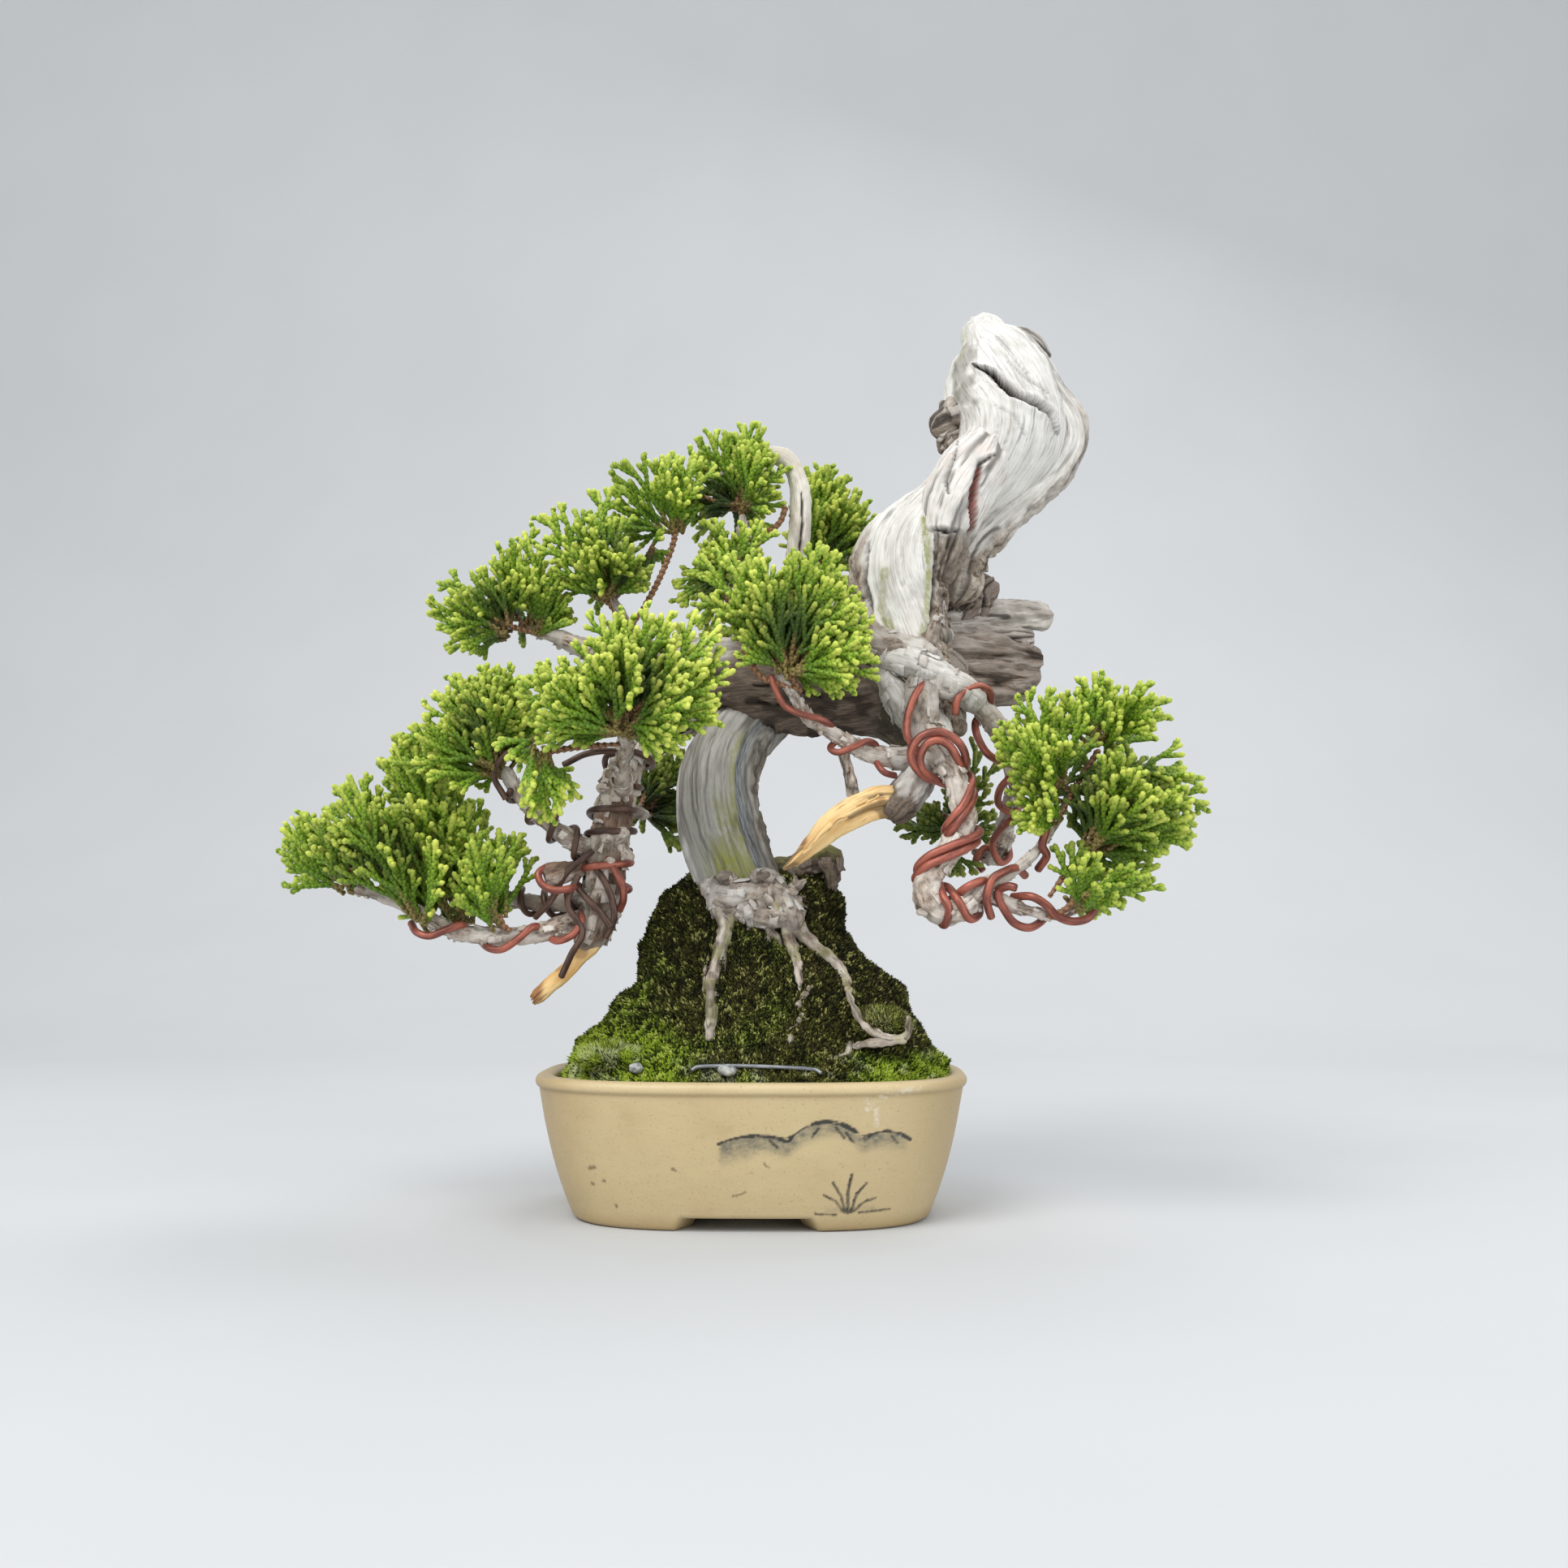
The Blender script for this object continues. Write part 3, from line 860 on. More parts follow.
trunk = {
    "lower": [(2.8, -6.4, 50, 8.4), (0.8, -6.4, 54.5, 8), (-2.2, -6.4, 61, 7.6), (-4.8, -5, 68, 7.7), (-6.4, -3.6, 75.5, 7.6),
        (-6.2, -1.2, 82.5, 7.3), (-3.4, 3, 89, 7), (1.5, 7.5, 94.5, 6.4)],
    "log": [(-11.6, 6, 100.8, 7.8), (-8, 5.6, 100.6, 8.8), (0, 4.8, 100.2, 9), (10, 4.2, 99.4, 8.6), (19, 3.4, 99.2, 8.8), (28, 2, 99.8, 9.2),
        (34, 1, 99.5, 8)],
    "upper": [(30.5, 1.5, 97, 9.6), (29.4, 1.8, 104, 9.2), (29, 2, 110, 9.2), (28.6, 2, 116, 9.3), (28.6, 1.6, 122, 9.4),
        (30.8, 1.8, 127.4, 8.8), (37.6, 3, 134.4, 7.6), (45, 3.8, 141.4, 9.2), (49.2, 5, 148, 12), (50, 6.4, 155, 12.2), (49.2, 7.4, 162, 10.9),
        (47.8, 8.2, 168, 8.3), (46.2, 8.6, 172, 4.6)],
    "strand": [(39.8, 3, 120, 4.4), (40.8, 3, 124.3, 4.2), (43.4, 3, 128.1, 3.7), (47.1, 3, 131.5, 3.5), (51.7, 3.4, 135.5, 3.3),
        (56.7, 4, 139.6, 3.2), (60.7, 4.4, 144.4, 3.1), (63, 4, 149.1, 2.9), (62.5, 3.4, 153.2, 2.7), (59.9, 3.4, 157.7, 2.2),
        (56.6, 4.4, 164, 1.9), (53.7, 5.4, 169.7, 1.5)],
    "knuckle": [(36.4, -3.4, 121.5, 3.6), (37.4, -4.2, 126, 4.8), (38.2, -4.4, 131, 5.6), (40.2, -4.2, 136.4, 6.3), (43, -3.6, 141, 6.2),
        (45.4, -2.6, 145.4, 4.8)],
    "leftKnob": [(42.1, 2.4, 153.5, 4.2), (39.5, 1.6, 152.2, 3.9), (37.5, 1.4, 151.3, 3)],
    "knobTip": [(38.9, 1.2, 149.2, 2.4), (37.7, 1.4, 147.5, 1.7), (37.2, 1.8, 146.3, 0.9)],
    "flake": [(51.4, 7, 171.8, 1.3), (54.1, 7.4, 171.9, 1.7), (57, 8, 170.8, 1.5), (59.2, 8.6, 168.2, 0.8)],
    "stub": [(33.6, -3, 92.4, 4.4), (33.8, -9, 87.1, 3.9), (32, -11.6, 82.7, 3.5), (30.4, -13.2, 79.1, 3.4), (28.5, -14.4, 76.4, 3.5),
        (27.1, -15, 74.5, 3.1)],
    "rootStub": [(5.2, -4, 62.1, 3.4), (7.8, -3.4, 63.4, 2.5), (10.9, -3, 64.7, 2.3), (14.5, -3, 65.1, 2.4), (15, -3, 63, 1.8),
        (14.8, -3, 60.3, 0.9)],
    "knots": [
        (0.95, 0.12, [(-7.3, -12, 59.7, 2), (-4.3, -13.4, 58.7, 2.5), (-0.5, -13.8, 58.7, 2.6), (3.7, -12.6, 59.5, 2.5)]),
        (0.95, 0.25, [(0.2, -10.4, 61.8, 1.8), (3.7, -12, 60.3, 2.4), (6.5, -13, 56.6, 2.4), (8, -14, 53.7, 1.9)]),
        (0.95, 0.12, [(-2.2, -14, 56.2, 1.8), (1.7, -14.6, 54.9, 2.2), (5.5, -14.4, 54.3, 2)]),
        (0.9, 0.4, [(2, -11, 61.8, 1.1), (3.7, -12.4, 60.8, 1.5), (5.4, -11.8, 61.1, 1.1)]),
        (0.7, 0.2, [(-1.3, -14.8, 57.4, 1.2), (0, -15.4, 55.5, 1.7), (0.5, -15.2, 53.6, 1.1)]),
        (0.8, 0.3, [(-5.8, -10.6, 61.8, 1.6), (-6.1, -12.8, 59.2, 2), (-5.6, -13.8, 55.8, 1.7)]),
        (0.9, 0.5, [(7.1, -8, 59.3, 1.6), (8.8, -10, 56.7, 1.9), (8.7, -12, 54.1, 1.2)]),
        (0.1, 0, [(24.6, -5.4, 103.8, 2.6), (28.3, -7.6, 102.8, 2.7), (32.3, -8.4, 101.4, 2.8), (36.4, -8, 99.4, 2.5)]),
        (0.95, 0.35, [(21.4, -4.6, 107.8, 2.4), (23.8, -6.2, 105.2, 3), (27.1, -7, 105.1, 2.4)]),
        (0.25, 0.15, [(24.6, -4.8, 101.4, 2.6), (27.1, -6.6, 96.5, 2.9), (29.5, -8, 91.8, 2.4)]),
        (0.9, 0.3, [(32.5, -8, 98.8, 2.6), (32, -9.4, 93.6, 3.2), (31.6, -10.6, 88.1, 3)]),
        (0.35, 0.1, [(34.7, -8.4, 98.7, 2.5), (38.4, -8, 97.7, 2.9), (41.8, -6.6, 95.6, 2.6)]),
        (0.5, 0.2, [(26.3, -6, 106.1, 1.6), (30.7, -7.4, 105.2, 2.2), (34.4, -7.8, 103.1, 1.9)]),
        (1, 0.6, [(36.5, -6, 96.6, 1.4), (38.1, -6.2, 93.2, 1.8), (38.9, -6.4, 89.9, 1.6)]),
        (0.9, 0.2, [(25.5, -13, 84.2, 1), (27.4, -14.4, 82.8, 1.7), (29.4, -14.6, 83.2, 1.2)]),
        (0.95, 0.3, [(21.8, -4.2, 113, 1.1), (22.6, -5.2, 109.5, 1.6), (23.8, -6, 106, 1.8)]),
        (0.95, 0.3, [(35.8, -3.2, 115, 1), (35.2, -4.6, 111, 1.6), (33.8, -6, 106.8, 1.9)]),
        (0.7, 0.3, [(36.3, -4.4, 109, 1), (36.8, -5.2, 107.9, 1.4), (36.7, -4.6, 106.9, 1)]),
        (0.9, 0.2, [(24.3, -5.4, 108.4, 1.4), (25.9, -6.6, 106.9, 1.9), (28.3, -6.4, 107, 1.4)])],
}


def makeTrunk():
    g, wood = trunk, Shape()
    # lower trunk: silver, bowed, with long dark lines, an olive stain and a ragged edge on the inside of the bow

    def lowerBark(place, out, s):
        edge = smooth(0.72, 0.92, out[..., 0] + 0.15 * noise(place, (1.5, 1.5, 3), 90))
        base = smooth(60.5, 56, place[..., 2] + 2 * noise(place, 3, 91))
        return np.maximum(edge * 0.9, base)

    def across(low, high, key, amount, zLow, zHigh):
        def stamp(place, out, s, t):
            side = out[..., 0] + 0.04 * noise(place, (2, 2, 4), 92) + 0.11 * noise(place, (5, 5, 11), 88)
            band = smooth(low, low + 0.06, side) * smooth(high, high - 0.06, side) * smooth(-0.2, 0.2, -out[..., 1])
            reach = smooth(zLow - 4, zLow + 3, place[..., 2] + 2 * noise(place, (1.2, 1.2, 5), 93)) * smooth(zHigh + 4, zHigh - 4, place[..., 2])
            return 0 * band, {key: amount * band * reach}
        return stamp

    lines = [across(a, a + 0.085, "crack", amount, lo, hi) for a, amount, lo, hi in
             ((-0.84, 0.7, 70, 92), (-0.62, 0.85, 66, 95), (-0.5, 0.6, 62, 84), (-0.34, 0.9, 60, 96), (-0.14, 0.55, 64, 92),
              (0.02, 0.7, 61, 80), (0.16, 0.6, 70, 96), (0.66, 0.95, 60, 98), (0.84, 0.9, 60, 98))]
    stain = [across(-0.5, 0.52, "green", 1.0, 58, 68), across(-0.2, 0.5, "green", 0.8, 64, 76), across(0.24, 0.48, "green", 0.8, 68, 90),
             across(-0.8, -0.4, "green", 0.5, 56, 65), across(-0.98, 0.98, "dusk", 0.6, 54, 94)]

    def slate(place, out, s, t):
        # a blue-grey stripe beside the ragged edge
        side = out[..., 0] + 0.05 * noise(place, (2, 2, 5), 94)
        band = smooth(0.44, 0.52, side) * smooth(0.7, 0.62, side) * smooth(-0.1, 0.3, -out[..., 1])
        return -0.4 * band, {"slate": band, "bare": band, "crack": 0.7 * smooth(0.66, 0.7, side) * smooth(0.76, 0.7, side)}

    def flare(place, out, s, t):
        low = smooth(60, 54, place[..., 2])
        ribs = 0.5 + 0.5 * np.cos(t * 5 + 0.8 + 1.5 * noise(place, 6, 95))
        return low * (0.9 * ribs - 0.2 + 1.5 * rough(place, 2.0, 96, 2)), {"crack": low * 0.6 * smooth(0.25, 0.05, ribs)}

    addLimb(wood, g["lower"], "silver", 128, 0.42, (1, 0, 0), 0.006, 11, lowerBark, ((3, 0.05, 1.0), (5, 0.03, 2.0)),
            lines + stain + [slate, flare], ends=("round", "cut"))
    # the cross log, weathered dark, with a rounded nub at its left end
    def logBark(place, out, s):
        return 0.35 + 0.4 * smooth(0.1, 0.5, rough(place, (5, 5, 3), 97, 2))

    def logAge(place, out, s, t):
        left = smooth(-2, -6, place[..., 0]) * smooth(102, 104.5, place[..., 2] + 1.4 * noise(place, 3, 96))
        old = 0.95 - 0.75 * left - 0.25 * smooth(20, 30, place[..., 0])
        low = smooth(0.25, -0.6, out[..., 2] + 0.4 * noise(place, (3, 3, 3), 98))
        return 0 * s, {"old": np.clip(old, 0, 1), "crack": 0.75 * low * smooth(-0.2, 0.3, noise(place, (3, 2, 1.2), 99))}

    def nub(place, out, s, t):
        near = smooth(2, -5, place[..., 0])
        folds = noise(place, (3.5, 3, 1.4), 100)
        return near * (0.9 * folds + 0.9 * smooth(0.1, 0.8, out[..., 2])), {"crack": near * 0.5 * smooth(-0.2, -0.5, folds)}

    addLimb(wood, g["log"], "log", 120, 0.45, (0, 0, 1), 0.012, 23, logBark, ((2, 0.06, 0.4), (3, 0.05, 1.9)),
            [logAge, nub, knob(3.6, 92.0, 2.6, 0.9, 3, dark=0.9), knob(20.4, 101.4, 2.2, 0.7, 2, dark=1.0),
             cleft([(-3, 104), (4, 103), (10, 101), (15, 98)], 0.5, 0.9), cleft([(0, 98.6), (6, 98.8), (13, 96)], 0.5, 0.8),
             cleft([(-2, 95.6), (5, 95)], 0.45, 0.7)])
    # the upright spire
    def spireBark(place, out, s):
        z = place[..., 2]
        leftEdge = smooth(0.78, 0.92, -out[..., 0] + 0.1 * noise(place, (1.5, 1.5, 4), 101) + 0.3 * smooth(120, 106, z)) * smooth(134, 124, z)
        foot = smooth(106, 101, z + 1.5 * noise(place, 2.5, 102))
        right = smooth(0.62, 0.74, out[..., 0] + 0.06 * noise(place, (1.5, 1.5, 4), 103) + 0.2 * smooth(120, 106, z)) * smooth(132, 126, z)
        back = 0.5 * smooth(0.1, 0.6, out[..., 1]) * smooth(0, 0.4, noise(place, (5, 5, 12), 104))
        return np.clip(leftEdge + foot + right + back, 0, 1)

    plate, plateFoot = [(27.2, 110), (27.2, 121), (30.0, 129)], [(27.3, 103), (27.3, 108)]

    def footShade(place, out, s, t):
        low = smooth(103, 98, place[..., 2])
        return 0 * s, {"dusk": low, "old": 0.35 * low * smooth(-0.1, 0.3, noise(place, (4, 3, 1.6), 113))}

    upperStamps = [
        footShade,
        cleft([(43.2, 162.2), (46.4, 159.4), (48.4, 156.8), (51.2, 154.4), (54.6, 153.6), (57.6, 151.8), (58.6, 148.6)], 1.15, 2.6, 1.0, 0.8),
        cleft([(22.4, 127), (21.6, 119), (23.6, 110), (26.6, 102)], 0.5, 0.8, 0.85, 0.35),
        cleft([(34.8, 130), (35.0, 122), (34.4, 113), (33.0, 104)], 0.5, 0.9, 0.85, 0.35),
        cleft([(30.4, 130.5), (28.8, 124), (28.6, 117)], 0.45, 0.35, 0.4), cleft([(26.4, 129.4), (25.4, 122)], 0.45, 0.3, 0.35),
        stroke([(25.2, 120), (24.8, 113), (27, 106), (31.6, 105), (33.4, 113), (33.6, 122), (32.8, 130)], 1.0, "green", 0.85),
        stroke([(24.4, 160), (41, 165), (42.4, 171)], 0.8, "green", 0.3),
        stroke([(27.6, 105), (29.6, 108), (30.6, 112)], 2.2, "blush", 0.22),
        cleft([(47.6, 169), (50.6, 164), (53.4, 160)], 0.5, 0.4, 0.3), cleft([(44.2, 168.6), (43.4, 163), (42.4, 157)], 0.5, 0.35, 0.25),
        cleft([(46.0, 152.8), (50.0, 150.4), (52.8, 146)], 0.5, 0.35, 0.25), cleft([(49.6, 162.4), (53.4, 158.6), (57.4, 156.2)], 0.5, 0.35, 0.25),
        stroke(plate, 5.4, "bare", 1.0, 0.15), stroke(plateFoot, 2.8, "bare", 1.0, 0.2),
        stroke([(41.2, 155), (40.8, 161), (42.6, 167)], 2.4, "dusk", 0.6, 0.6), stroke([(53, 172), (58, 165), (61.4, 157)], 1.1, "dusk", 0.6, 0.5),
    ]
    addLimb(wood, g["upper"], "pale", 144, 0.4, (1, 0, 0), 0.03, 37, spireBark, ((2, 0.05, 0.6), (3, 0.035, 1.2)), upperStamps)

    def strandBark(place, out, s):
        z = place[..., 2]
        rim = smooth(0.35, 0.7, out[..., 0] - 0.35 * out[..., 2] + 0.12 * noise(place, (1.5, 1.5, 3), 105))
        low = smooth(131, 122, z + 2 * noise(place, 3, 106))
        return np.clip(0.55 * rim * smooth(168, 158, z) + low * 0.8, 0, 1)

    def strandRidges(place, out, s, t):
        band = 0.5 + 0.5 * np.cos(t * 8 + 0.03 * s + 1.2 * noise(place, (5, 5, 9), 114))
        knot = smooth(4.6, 2.6, np.hypot(place[..., 0] - 59.2, place[..., 2] - 149.6)) * smooth(0.1, 0.5, out[..., 0])
        return 0.5 * band + 0.5 * knot * noise(place, 1.6, 115), {
            "crack": 0.75 * smooth(0.22, 0.04, band) * smooth(0.1, 0.35, noise(place, (9, 9, 9), 116) + 0.35), "old": 0.75 * knot}

    addLimb(wood, g["strand"], "pale", 84, 0.5, (1, 0, 0), 0.012, 41, strandBark, ((2, 0.08, 0.9),), [strandRidges])

    def rosyPlate(place, out, s, t):
        z = place[..., 2]
        tear = smooth(128.4, 126.6, z + 0.8 * noise(place, 1.4, 107))
        return -0.9 * tear, {"blush": 0.12 + 0.5 * smooth(0.1, 0.5, rough(place, 3, 108, 2)) - tear, "old": 0.4 * tear}

    addLimb(wood, g["knuckle"], "pale", 84, 0.4, (1, 0, 0), -0.02, 43, lambda p, o, s: smooth(129, 124, p[..., 2]) * 0.9, ((2, 0.06, 0.2),),
            [rosyPlate, cleft([(46.4, 142.4), (43.6, 140.4), (42.6, 137), (41.6, 131.6), (41.8, 127.2)], 0.85, 1.5, 0.8, 0.3),
             stroke([(43.4, 139.4), (42.6, 135.6), (41.9, 131), (41.9, 128)], 0.8, "rust", 0.85),
             cleft([(39.6, 146.2), (38.2, 140.6), (36.9, 137), (37.4, 133.6)], 0.4, 0.8, 0.8, 0.2),
             cleft([(34, 128.2), (37, 127.2), (40, 127.4)], 0.5, 1.1, 0.9, 0.4)])
    def burr(place, out, s, t):
        folds = noise(place, (1.6, 1.6, 2.2), 117)
        return 0.7 * folds, {"crack": 0.8 * smooth(-0.15, -0.4, folds), "old": 0.75 * smooth(153, 148.6, place[..., 2] + noise(place, 2, 118))}

    rng = np.random.default_rng(45)
    for key, sides in (("leftKnob", 64), ("knobTip", 44)):
        path = addLimb(wood, g[key], "limb", sides, 0.3, (1, 0, 0), 0.0, 47, 0.8, ((3, 0.1, 0.2),), [burr])
        addFlakes(wood, path, 1.6, rng, 0.3)
    addLimb(wood, g["flake"], "splint", 36, 0.4, (1, 0, 0), 0.0, 53, 0.3, (), [], ends=("round", "torn"), flat=((0.75, 0.2, 0.6), 0.72), old=0.25)
    # the hanging stub and the knotted mass where the branches leave
    def stubBark(place, out, s):
        return 0.1 + 0.35 * smooth(0, 0.3, noise(place, 3, 109))

    def collar(place, out, s, t):
        low = smooth(0.84, 0.97, s / s.max() + 0.06 * noise(place, 1.3, 110))
        return low * (0.45 * noise(place, (0.7, 0.7, 0.7), 111) - 0.3), {"old": 0.8 * low, "bark": low}

    addLimb(wood, g["stub"], "limb", 80, 0.4, (1, 0, 0), 0.01, 59, stubBark, ((3, 0.06, 0.4),), [collar, knob(26.6, 84.5, 1.4, 0.5)])
    for i, (flaky, worn, route) in enumerate(g["knots"]):
        path = addLimb(wood, route, "limb", 48, 0.4, (0, 0, 1), 0.02, 61 + i,
                lambda p, o, s, f=flaky: f * (0.4 + 0.6 * smooth(-0.3, 0.3, noise(p, 2.4, 112))),
                ((3, 0.1, i),), old=worn)
        addFlakes(wood, path, 1.8, rng, worn)
    # warts and little burrs over the foot
    for i in range(38):
        x, z = rng.uniform(-6.6, 8.8), rng.uniform(53.4, 62)
        y, r = -14.9 + 0.05 * (x - 1) ** 2 * 0.4 + rng.uniform(-0.4, 0.8), rng.uniform(0.6, 1.35)
        lean = rng.normal(0, 0.7, 3)
        wart = [(x, y, z, r), (*((x, y - 0.2, z) + lean * 0.6), r * 1.1), (*((x, y, z) + lean * 1.3), r * 0.7)]
        addLimb(wood, wart, "twig", 22, 0.3, (0.3, 0.2, 1), 0.0,
                500 + i, 0.9, ((3, 0.15, i),), old=0.35 * (i % 3 == 0))
    path = addLimb(wood, g["rootStub"], "limb", 56, 0.4, (1, 0, 0), 0.02, 83, 0.9, ((3, 0.14, 0.5), (5, 0.08, 1.0)),
                   [lambda p, o, s, t: (0.3 * noise(p, 1.3, 119), {"green": 0.8 * smooth(-0.2, 0.5, o[..., 2]), "old": 0.85 + 0 * s,
                                                                   "crack": 0.7 * smooth(-0.1, -0.4, noise(p, 1.3, 119))})], ends=("round", "torn"))
    addFlakes(wood, path, 1.2, rng, 0.9)
    wood.make("trunk_wood", woodFinish("weathered_trunk"), "trunk", "deadwood")


makeTrunk()


fan = {
    "knob": [(39.9, 8, 113.1, 3.6), (41.7, 8.6, 115.9, 4), (43.9, 9.4, 118.3, 4.1), (45.4, 9.8, 119.7, 3.4)],
    "blades": [
        (0.05, [(38.6, 8, 112.3, 4.2), (43, 9, 112.8, 4.2), (48.3, 10.4, 114.1, 3.6), (53.7, 11.4, 114.8, 2.9), (57.7, 12, 115.1, 2.2)]),
        (0.3, [(38.5, 7, 109.4, 3.8), (43.8, 8.4, 109.7, 3.6), (49.5, 9.6, 110.1, 2.9), (53.9, 10.4, 110.5, 2)]),
        (0.75, [(36.6, 5, 106, 4.4), (41.8, 6.6, 106.2, 4.6), (47.6, 8, 106.2, 4.2), (52.4, 9, 106.2, 3.4), (54.8, 9.4, 106, 2.7)]),
        (0.9, [(37.4, 5, 103, 4.4), (42.6, 6.4, 103, 4.4), (47.9, 7.8, 102.7, 4), (52.3, 8.6, 102.6, 3.2), (54.5, 9, 102.7, 2.4)]),
        (0.8, [(39.1, 5.4, 100.5, 3.8), (44.3, 6.6, 100, 3.6), (49.2, 7.8, 99.5, 3), (53.1, 8.6, 99.8, 2)])],
}


def makeFan():
    # the dark splayed deadwood behind the trunk on the right
    shape = Shape()

    def weathered(amount):
        def stamp(place, out, s, t):
            folds = rough(place, (7, 4, 1.3), 121, 2)
            return 0.9 * smooth(-0.2, 0.3, folds) - 0.3, {
                "old": np.clip(amount + 0.35 * smooth(0.1, -0.3, folds) - 0.15, 0, 1), "crack": 0.8 * smooth(-0.3, -0.5, folds)}
        return stamp

    def cracked(place, out, s, t):
        net = np.abs(noise(place, 2.2, 122))
        return -0.6 * smooth(0.12, 0.02, net), {"crack": smooth(0.1, 0.02, net), "old": 0.8 + 0 * s}

    addLimb(shape, fan["knob"], "log", 72, 0.4, (1, 0, 0), 0.01, 131, 0.3, ((3, 0.08, 0.3),), [cracked, knob(43.2, 117.0, 2.6, 0.7, 2)])
    for i, (worn, route) in enumerate(fan["blades"]):
        addLimb(shape, route, "log", 88, 0.4, (0, 0, 1), 0.004, 137 + i, 0.12, ((4, 0.08, i * 1.3), (7, 0.07, i), (11, 0.04, 2.0)),
                [weathered(worn)], flat=((0, 1, 0.1), 0.2))
    shape.make("deadwood_fan_splayed", woodFinish("grey_fan_wood", ((206, 200, 192), (160, 152, 144), (92, 84, 78)), char=(96, 84, 76), streak=1.3),
               "deadwood_fan", "deadwood")


makeFan()
print("trunk and fan ready")


# roots, branches and stripped stubs

moundTable = moundSurface(*np.meshgrid(np.arange(720) / 720, np.linspace(0, 1, 260)))[0].reshape(-1, 3)


def onMound(x, z, lift=0.0):
    # the place on the front of the bank seen at x, z
    front = moundTable[moundTable[:, 1] < -1]
    near = np.hypot(front[:, 0] - x, front[:, 2] - z)
    p = front[near.argsort()[:6]].mean(0)
    return (x, p[1] - lift, z)


rootRoutes = {
    "root_left": [(-5.4, 58.8, 1.9), (-5, 55.3, 1.5), (-4.5, 52, 1.25), (-5.7, 47.4, 1.15), (-6.5, 42.8, 1.15), (-6.5, 37.9, 1.1),
        (-6.6, 33.1, 0.8)],
    "root_centre": [(6.6, 54.9, 1.6), (6.9, 52, 1.15), (7.7, 48.6, 1), (8.8, 44.9, 0.85), (9.2, 41.6, 0.5)],
    "root_right": [(5.5, 56.2, 2.2), (7.7, 53.6, 1.7), (11.4, 49.4, 1.15), (15.4, 46.3, 1), (17.5, 43.2, 0.8), (18.4, 39.1, 0.55),
        (21, 34.9, 0.55), (25.7, 33, 0.6), (28.3, 33.9, 0.6), (28.5, 36.7, 0.35)],
}
sideRoots = {
    "root_left": [[(-7.4, 47.4, 0.35), (-7.8, 44.1, 0.4), (-7.7, 40.6, 0.3)], [(-3.3, 56.2, 1.5), (-3.4, 53.2, 1), (-4.1, 49, 0.7),
        (-4.4, 44.9, 0.4)]],
    "root_centre": [[(11, 41.8, 0.4), (9.9, 40.2, 0.5), (9, 38.7, 0.35)], [(9.6, 37.2, 0.4), (9, 35.5, 0.45), (7.7, 34.8, 0.3)],
        [(7.9, 33.5, 0.35), (7.3, 31.7, 0.3)]],
    "root_right": [[(18.9, 31.7, 0.5), (23.4, 32.4, 0.7), (27.5, 32.8, 0.7)], [(14.7, 29.7, 0.4), (17.4, 30.2, 0.55), (18.1, 32.2, 0.4)],
        [(11, 49, 0.6), (8.9, 50.7, 0.9), (7.2, 53.2, 1.3)]],
}


def makeRoots():
    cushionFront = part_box("moss_cushion_right")[0][1] / mm + 1.6
    finish = woodFinish("pale_surface_root", ((214, 206, 194), (180, 168, 154), (124, 110, 94)), ((210, 200, 188), (172, 158, 142), (106, 90, 74)))

    def weathered(p, o, s, t):
        return 0.25 * noise(p, 1.1, 145), {"green": 0.5 * smooth(0.0, 0.4, noise(p, 3.0, 142)), "dusk": 0.6 * smooth(-0.1, 0.4, noise(p, 2.2, 143)),
                                           "old": 0.55 * smooth(0.15, 0.45, noise(p, 1.7, 144))}

    for seed, (name, line) in enumerate(rootRoutes.items()):
        shape = Shape()
        for i, path in enumerate([line] + sideRoots[name]):
            route = []
            for x, z, r in path:
                px, py, pz = onMound(x, z, r * (0.55 if i == 0 else 0.3))
                if name == "root_right" and x > 17 and z < 40:
                    py = min(py, cushionFront - 0.2)
                route.append((px, max(py, -26.6) if z > 54 else py, pz, r))
            if i == 0:
                # the first stretch leaves the foot of the trunk
                x, y, z, r = route[0]
                route[0] = (x, min(y, -12.4), z, r)
            addLimb(shape, route, "twig", 40 if i == 0 else 24, 0.35, (1, 0, 0), 0.01, 200 + 7 * seed + i,
                    lambda p, o, s: 0.35 + 0.65 * smooth(-0.2, 0.4, noise(p, 2.2, 141)), ((3, 0.14, i), (2, 0.1, 1.0)), [weathered])
        shape.make(name + "_bark", finish, name, "bark")


makeRoots()


